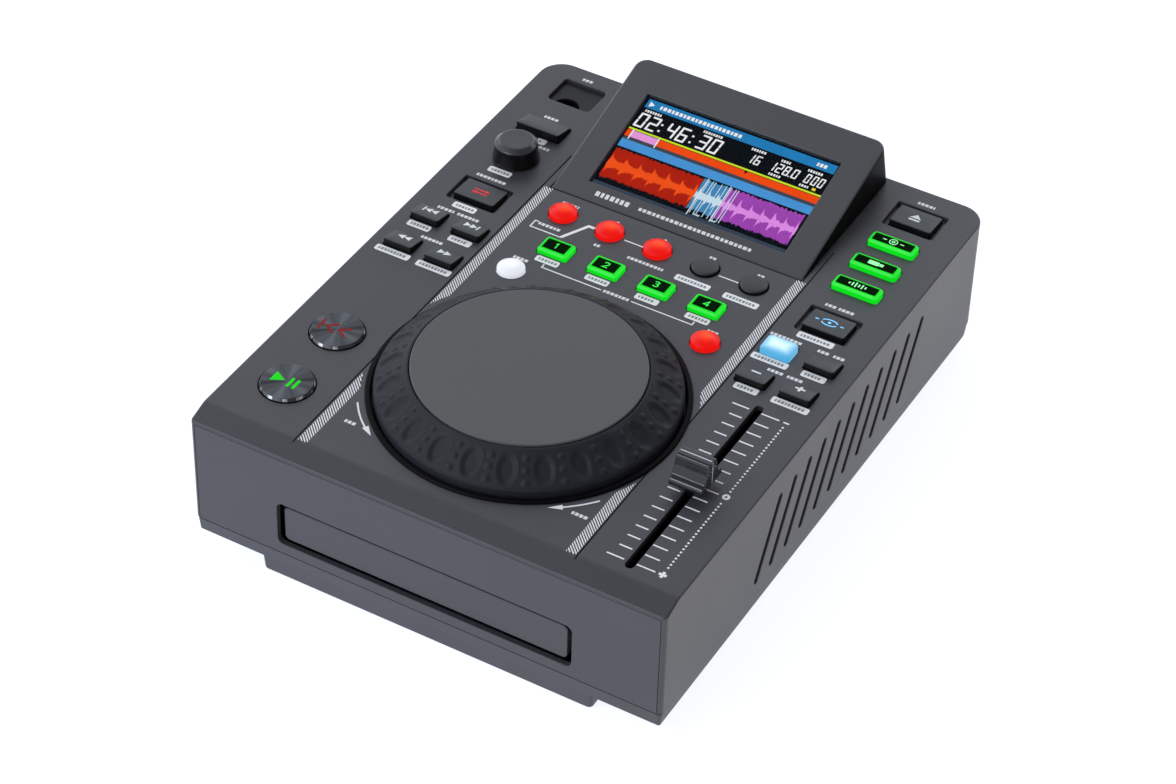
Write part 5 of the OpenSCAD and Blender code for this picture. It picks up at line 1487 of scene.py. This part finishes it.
def key_symbol(geo, kind, x, y, fn, m=2):
    z = lambda a, b: fn(a - x, b - y)
    P = lambda o: prism(geo, o if (o[1][0] - o[0][0]) * (o[2][1] - o[0][1]) - (o[2][0] - o[0][0]) * (o[1][1] - o[0][1]) > 0
                        else list(reversed(o)), z, -0.05, 0.06, m)
    yy = y + 1.2
    if kind == "prev":
        P([(x - 3.6, yy - 1.9), (x - 2.9, yy - 1.9), (x - 2.9, yy + 1.9), (x - 3.6, yy + 1.9)])
        P(tri(x - 1.25, yy, 3.1, 3.8, -1))
        P(tri(x + 1.75, yy, 3.1, 3.8, -1))
    elif kind == "next":
        P([(x + 2.9, yy - 1.9), (x + 3.6, yy - 1.9), (x + 3.6, yy + 1.9), (x + 2.9, yy + 1.9)])
        P(tri(x - 1.75, yy, 3.1, 3.8, 1))
        P(tri(x + 1.25, yy, 3.1, 3.8, 1))
    elif kind == "rew":
        P(tri(x - 1.55, yy, 3.2, 3.8, -1))
        P(tri(x + 1.55, yy, 3.2, 3.8, -1))
    elif kind == "ffw":
        P(tri(x - 1.55, yy, 3.2, 3.8, 1))
        P(tri(x + 1.55, yy, 3.2, 3.8, 1))
    elif kind == "minus":
        P(rrect(4.4, 1.15, 0.2, 2, x, yy + 0.2))
    elif kind == "plus":
        ribbon(geo, [(x - 2.3, yy), (x + 2.3, yy)], 1.15, z, -0.05, 0.06, m)
        for s in (-1, 1):
            ribbon(geo, [(x, yy + s * 0.55), (x, yy + s * 2.1)], 1.15, z, -0.05, 0.06, m)
    elif kind == "eject":
        P([(x - 2.6, yy - 0.7), (x + 2.6, yy - 0.7), (x, yy + 2.3)])
        P(rrect(5.2, 1.1, 0.15, 2, x, yy - 2.1))


small_names = ["prev_track", "next_track", "search_back", "search_forward", "key_lock", "tap", "bend_down", "bend_up"]
symbols = ["prev", "next", "rew", "ffw", None, None, "minus", "plus"]
for (x, y), nm, sy in zip(SMALL, small_names, symbols):
    if nm == "key_lock":
        continue
    g = Geo()
    foot(g, x, y, KS, KD, SKIN, 1)
    fn = wedge(KS, KD, KH, 1.1)
    cap(g, lambda i: rrect(KS - 2 * i, KD - 2 * i, 0.9 - min(i, 0.7), 4), x, y, SKIN - 0.9, fn, 0.55, (1.5, 2.6, 3.8), steps=6)
    if sy:
        key_symbol(g, sy, x, y, fn)
    piece(nm + "_cap", g, [KEY_TOP, KEY_SIDE_SHADE, KEY_MARK], nm + "_key", [nm + "_button"], sharp=50)

g = Geo()
x, y, w, d = BACK
foot(g, x, y, w, d, SKIN, 1)
fn = wedge(w, d, 4.0, 1.1)
cap(g, lambda i: rrect(w - 2 * i, d - 2 * i, 0.9 - min(i, 0.7), 4), x, y, SKIN - 0.9, fn, 0.6, (1.5, 2.8, 4.4), steps=6)
piece("back_cap", g, [KEY_TOP, KEY_SIDE_SHADE], "back_key", ["back_button"], sharp=50)

# square keys in their pockets
for (x, y, qw, qd), nm in zip(SQUARES, ("direction", "jog_mode", "eject")):
    g = Geo()
    zf = PZ - 4.4
    wk, dk = qw - 4.4, qd - 4.4
    yk = y + 0.5
    loft(g, [[(a, b, z) for a, b in rrect(qw - 1.5 - 2 * i, qd - 1.5 - 2 * i, 1.2, 4, x, y)] for i, z in
             ((0.15, zf - 1.4), (0, zf - 1.25), (0, zf - 0.55), (0.15, zf - 0.4))], mats=1)
    loft(g, [[(a, b, z) for a, b in rrect(3.6, 3.6, 0.3, 2, x, y)] for z in (SW_Z + 1.1, zf - 0.5)], mats=1)
    hh = SUNK_H
    fn = lambda a, b, dk=dk: PZ + hh - 0.4 + 0.7 * (0.5 - b / dk) - 0.25 * max(0.0, b / dk * 2) ** 3
    cap(g, lambda i: rrect(wk - 2 * i, dk - 2 * i, 0.9 - min(i, 0.7), 4), x, yk, zf - 0.9, fn, 0.5, (1.5, 3.0, 5.0), steps=6)
    z = lambda a, b: fn(a - x, b - yk)
    if nm == "eject":
        key_symbol(g, "eject", x - 0.3, yk - 0.6, fn, 2)
        sm = KEY_MARK
    elif nm == "direction":
        # two-way arrow, lit red
        ribbon(g, [(x - 3.6, yk + 0.9), (x + 2.2, yk + 0.9)], 0.75, z, -0.05, 0.06, 2)
        prism(g, [(x + 2.0, yk - 0.15), (x + 4.2, yk + 0.9), (x + 2.0, yk + 1.95)], z, -0.05, 0.06, 2)
        ribbon(g, [(x - 2.0, yk - 1.3), (x + 3.8, yk - 1.3)], 0.75, z, -0.05, 0.06, 2)
        prism(g, [(x - 1.8, yk - 0.25), (x - 4.0, yk - 1.3), (x - 1.8, yk - 2.35)], z, -0.05, 0.06, 2)
        sm = RED_LED
    else:
        # turning-disc mark, lit blue
        for k in range(2):
            pts = [(x + 2.9 * math.cos(math.radians(a)) * 1.25, yk + 0.2 + 2.0 * math.sin(math.radians(a)))
                   for a in range(20 + 180 * k, 161 + 180 * k, 14)]
            ribbon(g, pts, 0.6, z, -0.05, 0.06, 2)
        prism(g, circ(0.75, 16, x, yk + 0.2), z, -0.05, 0.06, 2)
        for s in (-1, 1):
            ribbon(g, [(x + s * 5.0, yk + 0.2), (x + s * 6.6, yk + 0.2)], 0.6, z, -0.05, 0.06, 2)
        sm = BLUE_MARK
    piece(nm + "_cap", g, [KEY_TOP, KEY_SIDE_SHADE, sm], nm + "_key", [nm + "_button"], sharp=50)


# lit keys: translucent body, chamfered rim and a dark window with a lit mark
DIGITS = {1: [[(-0.55, 0.95), (0.12, 1.5), (0.12, -1.5)]],
          2: [[(-0.95, 0.85), (-0.7, 1.35), (0.0, 1.5), (0.75, 1.3), (0.95, 0.75), (0.7, 0.15), (-1.0, -1.45), (1.05, -1.45)]],
          3: [[(-0.95, 1.2), (-0.4, 1.48), (0.5, 1.42), (0.9, 0.9), (0.6, 0.3), (-0.1, 0.1), (0.65, -0.1), (1.0, -0.75), (0.6, -1.35),
               (-0.2, -1.5), (-1.0, -1.15)]],
          4: [[(0.45, -1.5), (0.45, 1.5), (-1.05, -0.65), (1.1, -0.65)]]}


def lit(name, x, y, w, d, h, r, body_m, mark, mark_m, win):
    g = Geo()
    # the foot takes body_m[2], the dimmer green copy: painted shade
    foot(g, x, y, w, d, SKIN, 2)
    zt = PZ + h
    o = lambda i: rrect(w - 2 * i, d - 2 * i, max(r - i * 0.6, 0.25), 5, x, y)
    # the chamfer rows take body_m[1], the brighter green copy: painted highlight
    rows = [(0.0, SKIN - 0.9, 0), (0.0, PZ + 0.4, 0), (0.03, zt - 1.15, 0), (0.12, zt - 0.95, 1), (0.66, zt - 0.28, 1), (0.82, zt - 0.12, 1),
            (1.0, zt - 0.06, 0), (win[2] - 0.12, zt - 0.02, 0), (win[2], zt - 0.14, 0)]
    loft(g, [[(a, b, z) for a, b in o(i)] for i, z, _ in rows], mats=[q[2] for q in rows[1:]], mat_top=3)
    # window plate
    loft(g, [[(a, b, z) for a, b in rrect(win[0] - 2 * i, win[1] - 2 * i, 0.5, 4, x, y)] for i, z in
             ((0, zt - 0.3), (0, zt - 0.04), (0.08, zt + 0.01))], mats=3)
    mark(g, x, y, zt + 0.01)
    piece(name + "_cap", g, [body_m[0], body_m[1], body_m[2], LED_BLACK, mark_m], name + "_key", [name + "_button"], sharp=25)


def digit_mark(n):
    def fn(g, x, y, z):
        for pl in DIGITS[n]:
            ribbon(g, [(x + a * 1.12, y + b * 1.12) for a, b in pl], 0.62, z, -0.03, 0.03, 4)
    return fn


for i, (x, y) in enumerate(HOTS):
    lit("hot_cue_%d" % (i + 1), x, y, KW, KD, HOT_H, 1.2, (GREEN, GREEN_EDGE_HIGHLIGHT, GREEN_SHADE), digit_mark(i + 1), GREEN_MARK, (10.9, 6.6, 1.72))


def disc_mark(g, x, y, z):
    for ra in (1.75, 0.6):
        pts = [(x + ra * math.cos(a * math.pi / 12), y + ra * math.sin(a * math.pi / 12)) for a in range(25)]
        ribbon(g, pts, 0.42, z, -0.03, 0.03, 4)
    for s in (-1, 1):
        ribbon(g, [(x + s * 3.2, y), (x + s * 5.0, y)], 0.5, z, -0.03, 0.03, 4)


def stick_mark(g, x, y, z):
    prism(g, rrect(5.0, 2.6, 0.5, 3, x - 0.9, y), z, -0.03, 0.03, 4)
    prism(g, rrect(1.9, 1.7, 0.1, 2, x + 2.75, y), z, -0.03, 0.03, 4)


def notes_mark(g, x, y, z):
    for k, hgt in enumerate((1.2, 2.4, 3.2, 1.9, 2.8, 1.4)):
        ribbon(g, [(x - 3.75 + 1.5 * k, y - hgt / 2), (x - 3.75 + 1.5 * k, y + hgt / 2)], 0.65, z, -0.03, 0.03, 4)


for (x, y), nm, mk in zip(SOURCES, ("disc_source", "usb_source", "midi_source"), (disc_mark, stick_mark, notes_mark)):
    lit(nm, x, y, SRC_W, 8.0, SRC_H, 1.6, (GREEN, GREEN_EDGE_HIGHLIGHT, GREEN_SHADE), mk, PALE_MARK, (18.5, 4.9, 1.45))


def glow_attr(ob, cx, cy, rx, ry, power=2.0):
    me = ob.data
    at = me.attributes.new("glow", "FLOAT", "POINT")
    vals = []
    for v in me.vertices:
        a, b = (v.co.x / MM - cx) / rx, (v.co.y / MM - cy) / ry
        vals.append(max(0.0, 1.0 - (abs(a) ** power + abs(b) ** power) ** (1.0 / power)))
    at.data.foreach_set("value", vals)


# key lock: frosted cap, pale over the lamp and blue at the rim
x, y = SMALL[4]
g = Geo()
foot(g, x, y, KS, KD, SKIN, 0)
cap(g, lambda i: rrect(KS - 2 * i, KD - 2 * i, max(1.6 - i * 0.7, 0.4), 6), x, y, SKIN - 0.9,
    lambda a, b: PZ + 3.0 - 0.25 * ((2 * a / KS) ** 4 + (2 * b / KD) ** 4), 0.9, (1.1, 1.4, 1.8, 2.3, 2.9, 3.6, 4.3), 0, 0, 7)
ob = piece("key_lock_cap", g, [BLUE], "key_lock_key", ["key_lock_button"], sharp=60)
glow_attr(ob, x - 0.3, y + 1.0, 13.5, 10.0, 3.4)

# domed lit buttons
for (x, y), nm, h, mt in zip(DOMES, ("auto_loop", "loop_in", "loop_out", None, None, "shift", "slip"),
                             (3.9, 3.9, 3.9, 0, 0, 3.2, 3.9), (RED, RED, RED, None, None, WHITE, RED)):
    if not nm:
        continue
    g = Geo()
    loft(g, [[(a, b, z) for a, b in circ(DOME / 2 + 0.85 - i, 56, x, y)] for i, z in
             ((0.15, SKIN - 1.7), (0, SKIN - 1.55), (0, SKIN - 0.55), (0.15, SKIN - 0.4))])
    loft(g, [[(a, b, z) for a, b in rrect(3.6, 3.6, 0.3, 2, x, y)] for z in (SW_Z + 1.1, SKIN - 0.5)])
    R, rr_ = 9.6, DOME / 2
    a_edge = math.asin((rr_ - 0.35) / R)
    zc = PZ + h - R
    pp = [(0, SKIN - 0.9), (rr_, SKIN - 0.9), (rr_, zc + R * math.cos(a_edge) - 0.5)]
    ez = zc + R * math.cos(a_edge)
    pp += [(rr_ - 0.03, ez - 0.28), (rr_ - 0.13, ez - 0.12)]
    pp += [(R * math.sin(a_edge * (1 - k / 14.0)), zc + R * math.cos(a_edge * (1 - k / 14.0))) for k in range(15)]
    pp[-1] = (0, zc + R)
    revolve(g, pp, 64, x, y)
    ob = piece(nm + "_cap", g, [mt], nm + "_key", [nm + "_button"], sharp=50)
    glow_attr(ob, x + 0.2, y + 0.5, 6.2, 6.2)

# two dark round keys
for (x, y), nm in zip(DOMES[3:5], ("loop_half", "loop_double")):
    g = Geo()
    foot(g, x, y, DOME, DOME, SKIN, 1, True)
    r = DOME / 2
    pp = [(0, SKIN - 0.9), (r, SKIN - 0.9), (r, PZ + 0.4)] + arc(r - 0.9, PZ + 0.4, 0.9, 15, 75, 5)
    pp += [(r - 1.1, PZ + 1.33), (r - 2.0, PZ + 1.46), (r - 3.4, PZ + 1.56), (0, PZ + 1.6)]
    # the sides take the darker side material: painted shade
    revolve(g, pp, 64, x, y, [1, 1, 1, 1] + [0] * 20)
    piece(nm + "_cap", g, [KEY_ROUND, KEY_SIDE_SHADE], nm + "_key", [nm + "_button"], sharp=50)

# play and cue: turned metal faces with a painted fan of highlights, and a polished bevel with painted glints
for (x, y), nm, mt, edge_mt in zip(TRANSPORTS, ("play", "cue"), (SPUN_PLAY, SPUN_CUE), (EDGE_PLAY, EDGE_CUE)):
    g = Geo()
    foot(g, x, y, TRANS, TRANS, SKIN, 2, True)
    r = TRANS / 2
    h = PZ + 1.6
    pp = [(0, SKIN - 0.9), (r, SKIN - 0.9), (r, h - 1.38), (r - 0.04, h - 1.28), (r - 0.10, h - 1.16), (r - 0.62, h - 0.20), (r - 0.74, h - 0.07),
          (r - 0.92, h - 0.03), (r - 2.4, h - 0.02), (r - 5.0, h - 0.01), (0, h)]
    # the button's side takes the darker side material: painted shade
    revolve(g, pp, 128, x, y, [2, 2, 2, 1, 1, 0, 0, 0, 0, 0])
    zz = lambda a, b, x=x, y=y, h=h: h - 0.02 * min(1.0, math.hypot(a - x, b - y) / (TRANS / 2)) ** 2
    if nm == "play":
        prism(g, [(x - 6.7, y - 3.05), (x - 1.1, y), (x - 6.7, y + 3.05)], zz, -0.05, 0.07, 3)
        for c in (1.6, 4.3):
            ribbon(g, [(x + c, y - 2.9), (x + c, y + 2.9)], 1.35, zz, -0.05, 0.07, 3)
        mk = PLAY_PRINT_GLOW
    else:
        # return-to-mark sign: a bar, then two arrowheads that point back to it
        ribbon(g, [(x - 7.6, y - 3.1), (x - 7.6, y + 3.1)], 1.15, zz, -0.05, 0.07, 3)
        for c in (-4.9, 1.1):
            ribbon(g, [(x + c + 4.3, y + 3.1), (x + c, y), (x + c + 4.3, y - 3.1)], 1.1, zz, -0.05, 0.07, 3)
        mk = RED_PRINT_GLOW
    piece(nm + "_cap", g, [mt, edge_mt, KEY_SIDE_SHADE, mk], nm + "_key", [nm + "_button"], sharp=24)

# ------------------------------------------------------------------ screen print on the panel
pr = Geo()
H1 = 0.035


def pill(x0, x1, yc, h=3.9, dash=True):
    w = x1 - x0
    prism(pr, rrect(w, h, 0.9, 5, (x0 + x1) / 2, yc), PZ, -0.02, H1, 0)
    if dash:
        x = x0 + 1.5
        k = 0
        while x + 1.0 < x1 - 1.1:
            ww = 1.15 if k % 3 else 0.8
            prism(pr, rrect(ww, 1.5, 0.1, 2, x + ww / 2, yc), PZ, -0.02, H1 + 0.02, 2)
            x += ww + 0.5
            k += 1


def bar(x0, x1, yc, h=1.7, m=1):
    """A row of plain blocks where the real panel has a word."""
    x, k = x0, 0
    while x + 0.7 < x1:
        ww = min(1.55 if k % 4 else 1.1, x1 - x)
        prism(pr, rrect(ww, h, 0.12, 2, x + ww / 2, yc), PZ, -0.02, H1, m)
        x += ww + 0.42
        k += 1


for q in ((-92.1, -80.8, 58.5), (-92.0, -80.6, 28.6), (-102.0, -90.8, 7.6), (-81.4, -70.3, 7.6), (-104.8, -87.9, -13.8),
          (-84.2, -67.4, -13.9), (-42.6, -31.4, 15.5), (-18.2, -7.0, 15.5), (6.1, 17.1, 15.5), (30.2, 41.4, 15.5),
          (14.3, 30.8, 35.4), (37.5, 54.0, 35.4), (76.0, 92.8, 29.0), (65.8, 82.6, 7.4), (88.9, 100.0, 7.6), (68.7, 79.7, -13.3),
          (86.0, 102.9, -13.3), (-84.6, -79.7, 87.0)):
    pill(*q)
for x0, x1, yc in ((-94.3, -79.0, 52.2), (-96.6, -88.3, 23.4), (-86.6, -75.8, 23.4), (-91.7, -80.7, 2.0), (-89.9, -83.8, 137.6),
                   (-90.5, -83.0, 104.2), (-84.5, -75.1, 83.2), (-52.0, -43.8, 54.3), (-53.5, -42.0, 36.4), (-25.8, -23.0, 36.0),
                   (-9.3, 8.0, 36.0), (-6.8, 5.4, 10.9), (-51.0, -43.5, 11.0), (43.0, 48.6, 11.0), (80.2, 88.4, 135.6),
                   (77.2, 82.3, 52.3), (83.5, 91.3, 52.3), (66.3, 81.5, 23.6), (88.3, 94.3, 23.6), (95.5, 100.5, 23.6),
                   (76.0, 83.8, 2.3), (85.0, 92.4, 2.3), (-54.7, -49.6, -115.2), (50.6, 57.6, -114.5)):
    bar(x0, x1, yc)
for x, y in ((-24.4, 54.4), (-1.0, 54.4)):
    prism(pr, circ(0.75, 16, x, y), PZ, -0.02, H1, 1)
for x in (22.3, 45.5):
    bar(x - 1.6, x + 1.7, 54.4, 1.6)
z = PZ
L = lambda pts, w=0.62, m=0: ribbon(pr, pts, w, PZ, -0.02, H1, m)
L([(-53.9, 37.2), (-55.6, 37.2), (-55.6, 32.6), (-40.2, 32.6)])
L([(-40.4, 32.75), (-33.9, 45.6), (-31.0, 45.6)], 1.5)
L([(-31.2, 46.0), (-29.7, 46.0)])
L([(-16.3, 45.4), (-6.8, 45.4)])
L([(29.9, 45.4), (39.4, 45.4)])
L([(-37.0, 13.0), (-37.0, 10.8), (-7.8, 10.8)])
L([(6.6, 10.8), (35.8, 10.8), (35.8, 13.0)])


def bez(p0, p1, p2, n=14):
    return [(p0[0] * (1 - t) ** 2 + 2 * p1[0] * t * (1 - t) + p2[0] * t * t,
             p0[1] * (1 - t) ** 2 + 2 * p1[1] * t * (1 - t) + p2[1] * t * t) for t in (k / n for k in range(n + 1))]


L(bez((-56.3, -103.3), (-50.2, -111.9), (-42.8, -116.3)), 0.75)
prism(pr, [(-44.7, -113.1), (-46.3, -115.5), (-40.7, -117.7)], PZ, -0.02, H1 + 0.025, 0)
L(bez((56.8, -103.1), (50.8, -110.8), (43.4, -115.8)), 0.75)
prism(pr, [(45.4, -112.7), (41.2, -117.1), (46.9, -115.0)], PZ, -0.02, H1 + 0.025, 0)

# fader scale
for i in range(17):
    y = -23.8 - 6.444 * i
    ends = i in (0, 16)
    L([(73.5 if ends else 75.5, y), (81.2, y)], 0.72)
    L([(86.9, y), (95.0 if ends or i == 8 else 93.4, y)], 0.72)
y = -26.9
while y > -122.5:
    if abs(y + 75.2) > 2.6:
        prism(pr, circ(0.52, 10, 98.2, y), PZ, -0.02, H1, 0)
    y -= 2.03
ring_o, ring_i = circ(1.65, 28, 98.2, -75.2), circ(0.62, 28, 98.2, -75.2)
v = [(a, b, PZ + h) for h in (-0.02, H1) for a, b in ring_o + ring_i]
f = []
for k in range(28):
    k2 = (k + 1) % 28
    f += [(k, k2, 56 + k2, 56 + k), (28 + k2, 28 + k, 84 + k, 84 + k2), (56 + k, 56 + k2, 84 + k2, 84 + k), (k2, k, 28 + k, 28 + k2)]
pr.add(v, f, 0)
L([(96.5, -126.8), (99.9, -126.8)], 1.3)
for s in (-1, 1):
    L([(98.2, -126.8 + s * 0.62), (98.2, -126.8 + s * 1.75)], 1.3)
L([(96.9, -23.8), (99.5, -23.8)], 0.8)


# slanted hatching on both strips, stopped at the ring round the wheel
def hatch(x0, x1, y0, y1, near, far, pitch=1.5, slope=-1.0, thick=0.49):
    half = thick / math.cos(math.atan(abs(slope))) / 2 / abs(1.0)
    wdt = x1 - x0
    c = y0 - 1.0
    while c < y1 - slope * wdt + 1.0:
        # line y = c + slope * (x - x0), cut to the strip and to the outside of the ring
        n = 24
        run = []
        for k in range(n + 1):
            x = x0 + wdt * k / n
            y = c + slope * (x - x0)
            ok = y0 <= y <= y1 and math.hypot(x, y - JY) > (far if y > JY else near)
            if ok:
                run.append((x, y))
            if (not ok or k == n) and run:
                if len(run) > 2:
                    (xa, ya), (xb, yb) = run[0], run[-1]
                    v = [(xa, ya - half, 0), (xb, yb - half, 0), (xb, yb + half, 0), (xa, ya + half, 0)]
                    prism(pr, [(p[0], p[1]) for p in v], PZ, -0.02, H1, 0)
                run = []
        c += pitch


hatch(-64.5, -60.2, -134.6, 60.2, 68.7, 70.0)
hatch(59.6, 64.0, -134.6, 60.2, 68.2, 69.8)
piece("panel_print", pr, [PRINT, PRINT_SOFT, PRINT_DARK], "housing", sharp=60, weighted=False, fix=True)

# plain tick row on the hood where the real one has a line of words
hp = Geo()
x, k = -42.0, 0
while x < 34.0:
    ww = (1.9, 1.4, 1.6)[k % 3]
    prism(hp, rrect(ww, 1.7 if x > -24 else 2.6, 0.15, 2, x + ww / 2, 4.9), 0.0, -0.02, 0.035, 0, on_display)
    x += ww + (0.6 if x > -24 else 0.8)
    if -25.4 < x < -23.4:
        x = -20.5
    k += 1
piece("hood_print", hp, [PRINT_SOFT], "housing", sharp=60, weighted=False)
